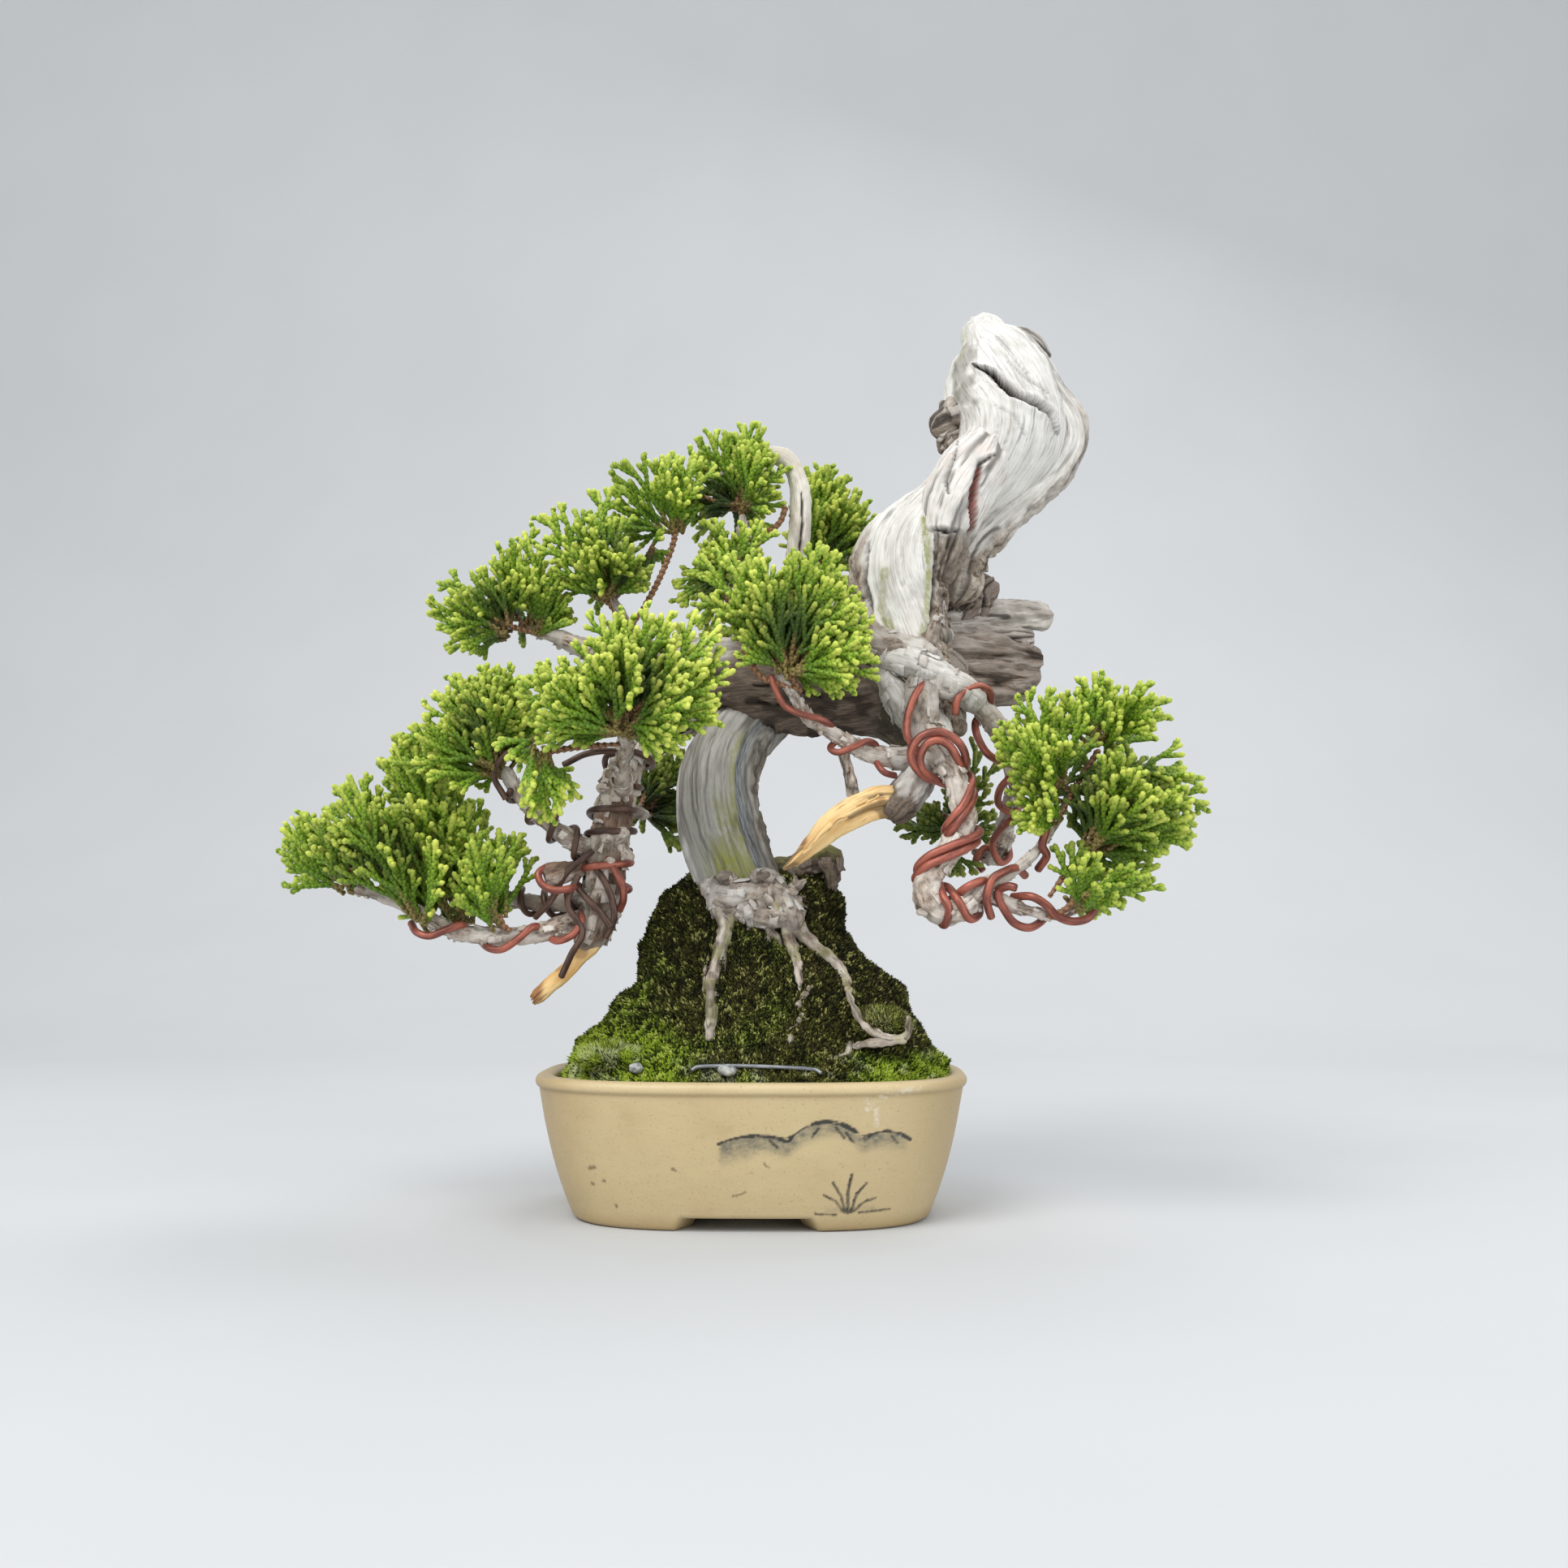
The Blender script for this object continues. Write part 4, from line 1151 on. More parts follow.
branches = {
    # node: its route, its sides and how much it has aged
    "branch_right_front": ([(33.2, -9.5, 88.3, 3.4), (33.5, -13.4, 85.6, 2.7), (35.2, -16, 83.1, 2.25), (37.5, -17.2, 79.7, 2.15),
        (38.2, -17.6, 76, 2.1), (38.9, -17.8, 72.7, 2.05), (37.5, -18, 68.5, 2.1), (34.5, -18, 64.1, 2.15), (32.2, -18.4, 61.1, 2.2),
        (32.2, -18.8, 57.4, 2.35), (34.7, -19, 55.2, 2.2), (38.1, -19, 55.9, 1.9), (41.2, -18.8, 58, 1.7), (45, -18.4, 57.2, 1.25),
        (49.6, -18, 55.7, 1), (54.5, -17.6, 54.6, 0.9), (58.2, -17.4, 55.7, 0.8)], 56, 0.1),
    "branch_right_riser": ([(40, -18.8, 57.4, 1.5), (42.3, -18.8, 59.9, 1.4), (45.4, -18.4, 61.4, 1.15), (48.2, -18, 63.1, 1),
        (51.3, -17.4, 65.6, 0.9), (53.9, -17, 69.1, 0.85), (55.7, -17, 71.8, 0.8)], 32, 0.15),
    "branch_right_back": ([(37.7, -6, 97.2, 3.4), (40.6, -5, 96.3, 2.5), (43.4, -4, 94.6, 2.1), (46.4, -2, 91.2, 2), (49, 1, 87.5, 1.95),
        (50.7, 4, 84.1, 1.95), (51.5, 7, 80.6, 1.9), (50.6, 9.6, 76.7, 1.8), (49.5, 12, 72.6, 1.7), (49.1, 14, 68.9, 1.5),
        (47.2, 16, 66.4, 1.3), (44.5, 19, 67.9, 1)], 48, 0.3),
    "branch_front_left": ([(30.9, -11.6, 84.4, 2.3), (27.5, -13, 83.9, 2), (23.8, -14, 84, 1.75), (20.6, -14.6, 84.9, 1.45),
        (17.4, -15.4, 86.7, 1.25), (14.3, -16.4, 88.5, 1.2), (11.3, -17.4, 90.1, 1.15), (9.3, -18.4, 92.8, 1), (7.6, -19.2, 95.5, 0.9),
        (6, -20, 97.7, 0.8), (5.2, -20.6, 100, 0.7)], 44, 0.2),
    "twig_cut": ([(17.4, -14.6, 84, 1.1), (18, -14, 81.6, 1.1), (18.9, -12.6, 77, 1.3)], 28, 0.6),
    "branch_left": ([(-8, 5, 97, 4.8), (-15, 1, 93.6, 4), (-20.6, -3.4, 89, 3.6), (-24, -7, 82.4, 3.3), (-25.6, -8.6, 75, 3.4),
        (-26.8, -9, 67.6, 3.6), (-27.6, -9.2, 60, 3.7), (-28.8, -9.2, 53, 3.2), (-30, -9.2, 50.4, 2.7)], 56, 1.1),
    "branch_left_low": ([(-29, -9.6, 54.6, 1.9), (-35, -10.8, 52.6, 1.8), (-42, -12, 51, 1.7), (-49, -12.6, 51, 1.6), (-54.6, -13, 52, 1.4),
        (-60.6, -13, 55, 1.2), (-66, -12.4, 57.4, 1), (-73, -11, 59.4, 0.8)], 32, 0.25),
    "branch_left_mid": ([(-28, -7.6, 59, 1.8), (-34, -5.4, 57.4, 1.6), (-41, -3.6, 57.2, 1.5), (-47, -2.6, 58.4, 1.3), (-53.6, -3.4, 61, 1.1)],
        32, 0.6),
    "branch_left_riser": ([(-27, -9.6, 66.6, 1.9), (-32, -11.4, 68, 1.7), (-37, -13, 71.6, 1.5), (-41.4, -14, 75.6, 1.4),
        (-45, -14.6, 81, 1.2)], 32, 0.45),
    "branch_left_rear": ([(-26, -6, 76.4, 1.6), (-24, 2, 75.6, 1.3), (-22.4, 9.6, 75, 1.1), (-23.4, 15, 76, 0.8)], 28, 0.6),
    "branch_front_riser": ([(-24, -9, 78, 2), (-23.6, -14.4, 79.4, 1.7), (-22.6, -20.4, 81, 1.5), (-21.4, -26, 84.4, 1.3), (-21, -31, 87, 1)],
        32, 0.55),
    "branch_crown_left": ([(-7, 8, 104, 3.4), (-14, 7.4, 106.6, 2.9), (-22, 6.2, 106.6, 2.5), (-30, 5, 106.6, 2.1), (-35, 4.4, 108, 1.8),
        (-39.6, 4, 110, 1.5), (-44, 3, 111, 1)], 36, 0.4),
    "branch_crown_mid": ([(-21, 6.2, 106.4, 1.9), (-23.6, 5.6, 109.4, 1.5), (-25.4, 5, 111.6, 1.3), (-28, 3.4, 117, 1)], 28, 0.4),
    "branch_crown_top": ([(-2, 9, 105, 3.2), (-1.6, 11.4, 113, 2.4), (-1, 13, 121, 1.9), (-2.6, 14, 128.6, 1.5), (-3, 13.4, 136, 1)], 36, 0.4),
    "branch_crown_back": ([(3, 10, 104, 3.4), (5.6, 18, 110, 2.6), (9.6, 23, 117, 2), (13.4, 26, 123.4, 1.6), (12, 27.6, 129, 1)], 32, 0.4),
    "branch_rear": ([(0, 12, 100, 3.2), (-3, 20, 102, 2.4), (-5.6, 26, 103.4, 1.9), (-7, 31, 104.4, 1.2)], 32, 0.4),
}


# short sawn stubs that belong to a branch
sawnStubs = {"branch_left": [(-29.7, -10, 64.2, 1.7), (-33.9, -12, 62.9, 1.8), (-37.6, -12.8, 61.6, 1.9)]}


def makeBranches():
    finish = woodFinish("flaky_branch_bark", ((236, 230, 222), (206, 196, 184), (140, 122, 106)), ((230, 222, 212), (190, 174, 160), (104, 84, 68)),
                        char=(96, 76, 62))
    for seed, (name, (route, sides, old)) in enumerate(branches.items()):
        shape = Shape()
        rng = np.random.default_rng(300 + seed)

        def patchy(p, o, s, k=seed):
            return 0.3 + 0.7 * smooth(-0.35, 0.25, noise(p, 2.6, 150 + k))

        def aged(p, o, s, t, amount=old, k=seed):
            return 0 * s, {"old": amount * smooth(-0.3, 0.5, noise(p, 4.0, 170 + k)) * 0.8,
                           "dusk": 0.6 * amount * smooth(0.3, -0.3, noise(p, 3.0, 190 + k))}

        path = addLimb(shape, route, "limb" if route[1][3] > 2.2 else "twig", sides, 0.3, (0, 0, 1), 0.015, 310 + seed, patchy,
                       ((2, 0.06, 0.4), (3, 0.06, seed)), [aged], ends=("round", "cut" if name == "twig_cut" else "round"))
        if name in sawnStubs:
            addLimb(shape, sawnStubs[name], "limb", 40, 0.3, (0, 0, 1), 0.0, 350, 0.9, ((3, 0.08, 1.0),), [aged], ends=("round", "cut"))
        # small warty side buds
        tangent, sideA, sideB = routeFrames(path)
        for _ in range(int(len(path) * 0.3 / 3.4)):
            i = rng.integers(4, max(5, len(path) - 4))
            r = path[i, 3]
            angle = rng.uniform(0, twoPi)
            out = sideA[i] * math.cos(angle) + sideB[i] * math.sin(angle)
            a = path[i, :3] + out * r * 0.55
            size = r * rng.uniform(0.22, 0.42)
            b = a + out * r * rng.uniform(0.45, 0.75) + tangent[i] * r * 0.3 * rng.normal()
            addLimb(shape, [(*a, size * 1.25), (*((a + b) / 2), size * 1.1), (*b, size * 0.8)], "twig", 14, 0.3, (0.3, 0.5, 0.8), 0.0,
                    330 + seed, 0.7)
        if sides > 28:
            addFlakes(shape, path, 1.1, rng, old * 0.3)
        shape.make(name + "_bark", finish, name, "bark")


makeBranches()


stubs = {
    "front": [(26.7, -14.6, 75.4, 2.35), (22.9, -15.6, 75, 2.5), (18.9, -16.6, 73.3, 2.4), (15, -17.6, 70.9, 2.2), (11.7, -18.4, 67.7, 1.6),
        (8.9, -19.2, 64.9, 1), (6.5, -19.8, 63, 0.35)],
    "left": [(-29.6, -9.4, 49.3, 1.9), (-31.8, -9.8, 47, 1.6), (-34.2, -10.2, 44.3, 1.5), (-36.9, -10.6, 42, 1.45), (-39, -11, 40, 1.45)],
    "crown": [(6.4, 9, 106, 3), (7.4, 11.4, 116, 2.7), (7.8, 13.4, 126, 2.6), (8.8, 14.6, 136, 2.6), (8.6, 15, 143.4, 2.4), (6.4, 15, 148.4, 2),
        (2.4, 14.4, 149.6, 1.6), (-3.4, 13.4, 147, 1.1), (-9.6, 12.4, 144, 0.5)],
}


def splinter(shape, a, b, middle, radii, sides, seed, bark=0.0, old=0.0):
    # one torn fibre from a to b
    route = [(*a, radii[0]), (*middle, radii[1]), (*b, radii[2])]
    addLimb(shape, route, "splint", sides, 0.4, (0.2, 0.1, 1), 0, seed, bark, old=old)


def makeStubs():
    # freshly stripped, splintered wood
    fresh = woodFinish("fresh_stripped_wood", ((240, 208, 150), (226, 178, 108), (190, 128, 66)), ((196, 150, 96), (150, 98, 56), (96, 60, 34)),
                       char=(120, 78, 44), streak=1.2, matt=0.66, polish=0.35)
    old = woodFinish("old_bleached_jin", ((232, 228, 218), (202, 192, 176), (140, 122, 100)), streak=0.9)
    front = Shape()

    def streaks(p, o, s, t):
        n = noise(np.stack([t * 0.9, s * 0.12, s * 0], -1), 1.0, 401)
        return 0 * s, {"crack": 0.6 * smooth(0.35, 0.55, n),
                       "old": 0.55 * smooth(0.35, 0.6, noise(p, (3, 3, 2), 402)) + 0.35 * smooth(14, 8, p[..., 0])}

    addLimb(front, stubs["front"], "splint", 72, 0.3, (0, 0, 1), 0.01, 403, 0.0, ((2, 0.16, 0.3), (5, 0.1, 1.0), (9, 0.05, 0.4)), [streaks],
            flat=((0.3, 0.9, 0.1), 0.25))
    rng = np.random.default_rng(405)
    core = smoothRoute(stubs["front"], 0.5)
    for i in range(22):
        k = rng.integers(2, len(core) - 8)
        spin, r = rng.uniform(0, twoPi), core[k, 3]
        a = core[k, :3] + np.array([0.35 * math.cos(spin), math.sin(spin), 0.75 * math.cos(spin)]) * r * 0.95
        b = a + (core[k + 6, :3] - core[k, :3]) * rng.uniform(0.8, 1.6) + np.array([0, -0.2, -0.35]) * rng.uniform(0.2, 1.6)
        thin = rng.uniform(0.2, 0.5)
        splinter(front, a, b, (a + b) / 2 + rng.normal(0, 0.2, 3), (thin, thin * 0.8, 0.1), 14, 410 + i)
    # brown fibres torn up where it leaves the stub
    for i in range(16):
        spin = rng.uniform(0, twoPi)
        a = core[0, :3] + np.array([0.5 * math.cos(spin) + 0.9, math.sin(spin), 0.8 * math.cos(spin) + 0.5]) * 2.5
        b = a + np.array([-1.9, 0, -0.7]) * rng.uniform(0.5, 1.2) + rng.normal(0, 0.5, 3)
        splinter(front, a, b, (a + b) / 2, (0.42, 0.36, 0.14), 12, 440 + i, 0.8, 0.5 if i % 2 else 0.0)
    front.make("jin_front_splinters", fresh, "jin_front", "stripped_wood")
    left = Shape()
    addLimb(left, stubs["left"], "splint", 48, 0.3,
            (0, 0, 1), 0.01, 431, 0.0, ((3, 0.08, 0.3),),
            [lambda p, o, s, t: (0 * s, {"old": 0.9 * smooth(-37.4, -38.8, p[..., 0]) + 0.5 * smooth(0.3, 0.6, noise(p, 2.4, 432))})],
            ends=("round", "torn"))
    left.make("jin_left_stripped", fresh, "jin_left", "stripped_wood")
    crown = Shape()
    addLimb(crown, stubs["crown"], "pale", 56, 0.35, (1, 0, 0), 0.03, 441, 0.1,
            ((2, 0.1, 0.3),), [cleft([(8.6, 126), (9.4, 134), (9.2, 141)], 0.5, 0.9, 0.9),
                               stroke([(7.2, 136), (8.6, 130), (8, 122)], 1.2, "old", 0.4)])
    crown.make("jin_crown_hook", old, "jin_crown", "deadwood")


makeStubs()
print("roots, branches and stubs ready")


# training wire

wires = {
    # wound on which route, first and last share of it, turns, radius, phase, sort
    "wire_left_red": ("branch_left", 0.70, 0.83, 1.6, 0.7, 0.4, "red"),
    "wire_left_brown": ("branch_left", 0.55, 0.70, 2.2, 0.62, 2, "aged"),
    "wire_left_upper": ("branch_left", 0.22, 0.50, 2.6, 0.6, 0.6, "aged"),
    "wire_left_mid": ("branch_left_mid", 0.10, 0.80, 3.8, 0.58, 0.6, "aged"),
    "wire_left_riser": ("branch_left_riser", 0.12, 0.86, 3.6, 0.58, 0.4, "aged"),
    "wire_crown_left": ("branch_crown_left", 0.20, 0.50, 2.8, 0.6, 0.5, "aged"),
}
looseWires = {
    # extra runs of the same wire, each point with its place: anchors, crossings and cut ends
    "wire_left_red": [[(-26.5, -12.4, 65.2), (-24.7, -13.4, 62.9), (-23.4, -13.4, 60.2), (-23.3, -12.6, 57.7), (-24.3, -10, 55.8)],
        [(-31.8, -11, 60.3), (-33, -14.6, 59.6), (-35.6, -15.2, 59.3), (-37.9, -15, 60.4), (-38.7, -14.4, 62.4), (-37.4, -12.6, 63.7),
        (-36.4, -10.5, 64)]],
    "wire_left_upper": [[(-24, -13, 78), (-22.2, -15, 82.6), (-24.6, -16.4, 84.6), (-29.6, -16.8, 84.2), (-34, -16.4, 82.2)]],
    "wire_left_riser": [[(-44.6, -16.4, 76), (-46.6, -17.4, 80.4), (-44, -17.6, 84.4), (-39.4, -17.2, 85.2)]],
    "wire_left_brown": [[(-28.8, -12.6, 63.9), (-26.5, -13.6, 60.7), (-25.1, -13.8, 57.2), (-24.9, -13.6, 54), (-26.5, -12.4, 50.8)],
        [(-32.1, -12.4, 60.2), (-29.9, -13.6, 57.8), (-27.3, -14, 55.3), (-25.4, -13.6, 52.6)], [(-31.6, -13.2, 62), (-33.4, -13.6, 57),
        (-30.6, -14, 51.8), (-32.6, -13.8, 47.6), (-34.6, -12.4, 43.6)]],
    "wire_left_mid": [[(-29, -13.4, 66.6), (-33.6, -13.6, 62.6), (-36.6, -12.4, 57.6), (-40, -10, 54.4)]],
}


windings = {
    # wire bent by hand: each run of it, point by point
    "wire_left_low": (0.7, "red", [
        [(-63, -10.5, 53.3), (-61, -14.2, 51.7), (-58.4, -15, 51), (-55.4, -15, 52.1), (-52.9, -14.2, 53), (-52.4, -11, 52.3)],
        [(-50.2, -10.5, 50.3), (-47.7, -14, 48.8), (-45.1, -14.8, 48.6), (-42.4, -14.8, 50.3), (-39.8, -14.2, 52.6), (-38.8, -11, 52.6)],
        [(-37.8, -10.5, 51.1), (-35.3, -13.2, 50.1), (-32.4, -14, 51.2), (-31, -13.4, 53.5), (-31.2, -11, 55.3)]]),
    "wire_front_left": (0.62, "red", [
        [(4.1, -20.4, 97.7), (5, -21, 95.2), (6.6, -20.6, 92.4), (9.5, -20, 90.9), (12.7, -19, 90.2), (15, -17, 89.1), (15.5, -14.2, 88.1)],
        [(15.7, -14.6, 86.5), (14.8, -16.4, 85.1), (16.2, -17.6, 84.2), (19, -17.4, 85.2), (21.4, -16.8, 86.3), (23.1, -14.8, 85.9),
         (23.4, -12.6, 84.7)],
        [(23.1, -13.2, 83.7), (23.5, -15.4, 82.1), (24.7, -16.4, 80.6), (26.6, -14.8, 80.2)]]),
    "wire_right_main": (0.76, "red", [
        [(38.8, -14, 80.8), (39.3, -17, 81.9), (38.9, -19.2, 84.1), (37.2, -20, 86.3), (34.2, -20, 87.6), (30.9, -19.8, 86.6),
         (29.3, -19.6, 83.9), (30.1, -19, 81.3), (32.4, -17, 79.5), (35.3, -14, 79.3), (38.7, -13, 80.9), (40.3, -15.4, 80.1),
         (40.2, -18.4, 77.9), (38.7, -20.2, 74.6), (36.6, -20.2, 72), (35.4, -17.8, 69.9), (37.1, -15, 69.4), (40.2, -14.8, 70.4),
         (41.8, -16.8, 69.9), (40.3, -19.6, 68.7), (36.2, -20.8, 67), (32.4, -20.6, 65.3), (30.4, -18.6, 63.3), (31, -16, 61.8),
         (33.2, -15.4, 61.5), (34.4, -17.4, 60.3), (34.8, -20.6, 58), (35.7, -21.4, 55.7), (35.1, -19.8, 53), (34.3, -17, 54.2),
         (35.7, -16, 56.9), (37.1, -18.4, 58.1), (39.1, -21, 59.7), (41.9, -20, 60.8), (43.3, -17.4, 59.9)],
        [(47.5, -21.6, 59.5), (46.3, -21, 59.8), (44.9, -19.8, 59.2), (44.6, -19.8, 58), (45.6, -20.2, 55.7), (47.5, -19.2, 53.3),
         (50.3, -18, 52.5), (53, -16, 53.9), (54, -15.4, 55.8)],
        [(47.5, -16.8, 58), (50.5, -19.6, 58), (53.1, -19.8, 56.5), (55, -19.4, 54.6), (57.8, -18.6, 53.6), (60.6, -17.8, 54.1),
         (62.3, -17, 55.8)]]),
    "wire_right_beside": (0.76, "red", [
        [(38.5, -14.4, 79.4), (38.5, -17.4, 81), (37.5, -19.2, 83.2), (36.1, -19.8, 85.1), (34.1, -19.8, 86.1), (32.2, -19.6, 85.4),
         (31, -19.4, 83.2), (31.3, -19, 81), (33, -17.4, 79.7), (36, -14.4, 78.6), (39.6, -14, 78.7), (40.8, -16.8, 76.8),
         (39.8, -19.4, 74.3), (37.6, -20.4, 71.2), (35.8, -18.6, 69), (36.6, -15.6, 68.2), (39.8, -14.8, 69), (41.3, -17, 68.1),
         (39.1, -19.8, 66.6), (35.2, -20.8, 64.9), (31.7, -20.4, 63.3), (30, -18, 61.4), (31.3, -16, 60.4), (34.4, -16, 60),
         (35.9, -18.4, 59.6), (37.5, -21, 57.1), (39.4, -20, 54.1), (41.4, -17.4, 54.9), (41.5, -15.6, 56.9)],
        [(43.5, -18, 54.4), (42.4, -21, 57.6), (43.4, -21.2, 60.9), (45.6, -20.6, 62.4), (48.1, -18.4, 63.1), (50, -15.4, 61.9)],
        [(52.3, -15.6, 63), (53.6, -17.6, 65.3), (52.7, -18.8, 67.1), (53.3, -18.6, 69.4), (54.1, -17, 71.5)],
        [(34, -8.6, 98.8), (31.6, -10.6, 97.1), (29.7, -12.6, 93.4), (28.9, -14.2, 90), (29.1, -15.4, 87.1), (31, -15, 84.1)]]),
    "wire_right_back": (0.74, "red", [
        [(38.2, -10, 92.1), (38.5, -10.4, 94.9), (40.6, -9.6, 97.1), (43.5, -7.6, 97.7), (45.4, -5, 96.3), (44.9, -1.4, 93.3),
         (42.7, -2.6, 91.9), (42.6, -5.2, 88.8), (44.4, -5.4, 85.4), (47.4, -3.4, 83.9), (50.7, 0.4, 83.8), (52.8, 4, 84.9)],
        [(52.6, 6, 83), (50.2, 3.4, 81.9), (48, 4.6, 79.6), (47.8, 6.6, 76.8), (50.6, 8, 75.1), (52.7, 11, 76.8)],
        [(51.1, 9, 74.1), (48.5, 8.4, 72), (46.9, 10, 69.1), (48.4, 12, 65.6), (50.5, 13.6, 66.6), (50.6, 16, 69)],
        [(45.4, 15, 64), (44.1, 15.6, 66.1), (45.8, 15, 68.5), (48.1, 15.4, 68.2)]]),
}


def addWire(shape, path, radius, wave):
    path = np.asarray(path, float)
    tangent, sideA, sideB = routeFrames(np.concatenate([path, path[:, :1]], 1), (0.31, 0.52, 0.8))
    sides = 14
    turn = np.arange(sides) / sides * twoPi
    out = np.cos(turn)[None, :, None] * sideA[:, None] + np.sin(turn)[None, :, None] * sideB[:, None]
    grid = path[:, None] + out * radius
    # the ends are snipped: a narrow chamfer and a flat face
    ends = [path[0] - tangent[0] * radius * 0.25, path[-1] + tangent[-1] * radius * 0.25]
    grid = np.concatenate([ends[0] + out[:1] * radius * 0.8, grid, ends[1] + out[-1:] * radius * 0.8])
    along = np.concatenate([[0], arcLength(path), [arcLength(path)[-1]]])
    wound = np.stack(np.broadcast_arrays(np.cos(turn), np.sin(turn), along[:, None] + wave), -1).reshape(-1, 3)
    shape.add(*closedGrid(grid), grain=np.concatenate([wound, wound[[0, -1]]]))


def coil(route, first, last, turns, radius, phase):
    path = smoothRoute(route, 0.3)
    _, sideA, sideB = routeFrames(path)
    along = arcLength(path)
    share = np.linspace(first, last, int(abs(turns) * 40))
    at = share * along[-1]
    centre = np.stack([np.interp(at, along, path[:, k]) for k in range(4)], 1)
    a = unit(np.stack([np.interp(at, along, sideA[:, k]) for k in range(3)], 1))
    b = unit(np.stack([np.interp(at, along, sideB[:, k]) for k in range(3)], 1))
    turn = phase + twoPi * turns * (share - first) / (last - first)
    sway = 1 + 0.06 * np.sin(turn * 0.7 + phase)
    reach = ((centre[:, 3] + radius) * sway + 0.25)[:, None]
    return centre[:, :3] + (a * np.cos(turn)[:, None] + b * np.sin(turn)[:, None]) * reach


def wireFinish(name, bright, dull, dark, metal):
    wire = Finish(name, Metallic=metal, Specular_IOR_Level=0.5)
    cloudy = wire.cloud(wire.place("grain", (0.7, 0.7, 0.22)), 1.0, 3.0, 0.6)
    scratch = wire.cloud(wire.place("grain", (4.0, 4.0, 1.6)), 1.0, 3.0, 0.7)
    colour = wire.mix(tint(*dull), tint(*bright), cloudy.between(0.38, 0.6))
    wire.feed("Base Color", wire.mix(colour, tint(*dark), scratch.between(0.6, 0.72) * 0.6))
    wire.feed("Roughness", cloudy * 0.2 + 0.32)
    wire.feed("Normal", wire.bump(scratch, 0.06, 0.5))
    return wire.material


def makeWires():
    sorts = {"red": wireFinish("red_copper_wire", (174, 100, 82), (120, 68, 58), (104, 74, 56), 0.3),
             "aged": wireFinish("brown_aged_wire", (104, 78, 66), (66, 48, 42), (34, 26, 24), 0.3)}
    for i, (name, (branch, first, last, turns, radius, phase, sort)) in enumerate(wires.items()):
        shape = Shape()
        addWire(shape, coil(branches[branch][0], first, last, turns, radius, phase), radius, 17.0 * i)
        for line in looseWires.get(name, []):
            addWire(shape, smoothRoute(line, 0.35)[:, :3], radius, 17.0 * i + 5)
        shape.make(name + "_turns", sorts[sort], name, "wire_copper" if sort == "red" else "wire_aged")
    for i, (name, (radius, sort, runs)) in enumerate(windings.items()):
        shape = Shape()
        for k, run in enumerate(runs):
            addWire(shape, smoothRoute([(*p, 0) for p in run], 0.3)[:, :3], radius, 17.0 * (i + 20) + 5 * k)
        shape.make(name + "_turns", sorts[sort], name, "wire_copper")
    tie = Shape()
    line = [(*onMound(x, z, 1.1), 0.5) for x, z in ((-9.4, 27.8), (-8, 28.4), (-2, 28.6), (4.6, 28.4), (11.4, 28.0), (13.0, 27.4))]
    addWire(tie, smoothRoute([p[:3] for p in line], 0.4), 0.34, 3.0)
    tie.make("wire_tie_down_strand", wireFinish("dull_tie_wire", (156, 160, 164), (112, 116, 122), (70, 72, 76), 0.45), "wire_tie_down", "wire_tie")


makeWires()


def makeDressing():
    # the pebbles at the foot of the mound and the two moss cushions beside it
    stone = Finish("blue_grey_pebble", Roughness=0.75)
    here = stone.body()
    banded = stone.cloud(here, 0.8, 4.0, 0.6)
    colour = stone.mix(tint(112, 116, 118), tint(178, 180, 176), banded.between(0.35, 0.62))
    stone.feed("Base Color", stone.mix(colour, tint(214, 210, 200), banded.between(0.64, 0.74)))
    stone.feed("Normal", stone.bump(stone.cloud(here, 2.6, 3.0), 0.2, 0.6))
    for i, name in enumerate(("pebble_left", "pebble_middle", "pebble_right")):
        ball = ballGrid(22, 34)
        lump = 1 + 0.16 * rough(ball * 2 + i * 9, 1.1, 501, 3)
        facets = 1 - 0.1 * smooth(-0.1, 0.3, noise(ball * 2 + i * 9, 0.9, 502))
        box = np.array(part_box(name)) / mm
        centre, half = box.mean(0), (box[1] - box[0]) / 2 * 1.05
        shape = Shape()
        shape.add(*closedGrid(centre + ball * (lump * facets)[..., None] * half))
        shape.make(name + "_stone", stone.material, name, "pebble")
    rng = np.random.default_rng(511)
    for name in ("moss_cushion_left", "moss_cushion_right"):
        box = np.array(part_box(name)) / mm
        low = name.endswith("left")
        centre, half = box.mean(0) + (0, 0.6, -1.3 * low), (box[1] - box[0]) / 2 * (1.0, 0.8, 0.7 if low else 0.92)
        count = 5600
        d = unit(rng.normal(0, 1, (count, 3)) + (0, -0.2, 0.5))
        root = centre + d * half * (0.78 + 0.2 * noise(d * 3 + centre, 0.8, 512))[:, None]
        wild = unit(d + (0, 0, 0.5) + rng.normal(0, 0.3, (count, 3)))
        tip = root + wild * rng.uniform(0.7, 1.5, count)[:, None]
        across = rng.normal(0, 1, (count, 3))
        pale = smooth(-0.1, 0.3, noise(root, 2.4, 513)) * (0.5 if low else 0.1)
        leafy = 1.0 if low else 0.35
        zone = np.stack([leafy * (0.4 + 0.6 * smooth(-0.4, 0.4, noise(root, 3.0, 514))), pale, 0.5 * (1 - leafy) + 0 * pale, 0 * pale], -1)
        shape = Shape()
        addBlades(shape, root, wild, tip, across, 0.34, 0.3, zone, rng.uniform(0.25, 1, count))
        # the soft heart under the tufts
        ball = ballGrid(30, 48)
        points, quads, tris = closedGrid(centre + ball * half * (0.78 + 0.2 * noise(ball * 3 + centre, 0.8, 512))[..., None])
        n = len(points)
        shape.add(points, quads, tris, zone=np.tile([0.5, 0.1, 0, 0], (n, 1)), age=np.full(n, 0.1), tone=np.full(n, 0.4))
        shape.make(name + "_tufts", mossFinish(name + "_green", True), name, "moss")


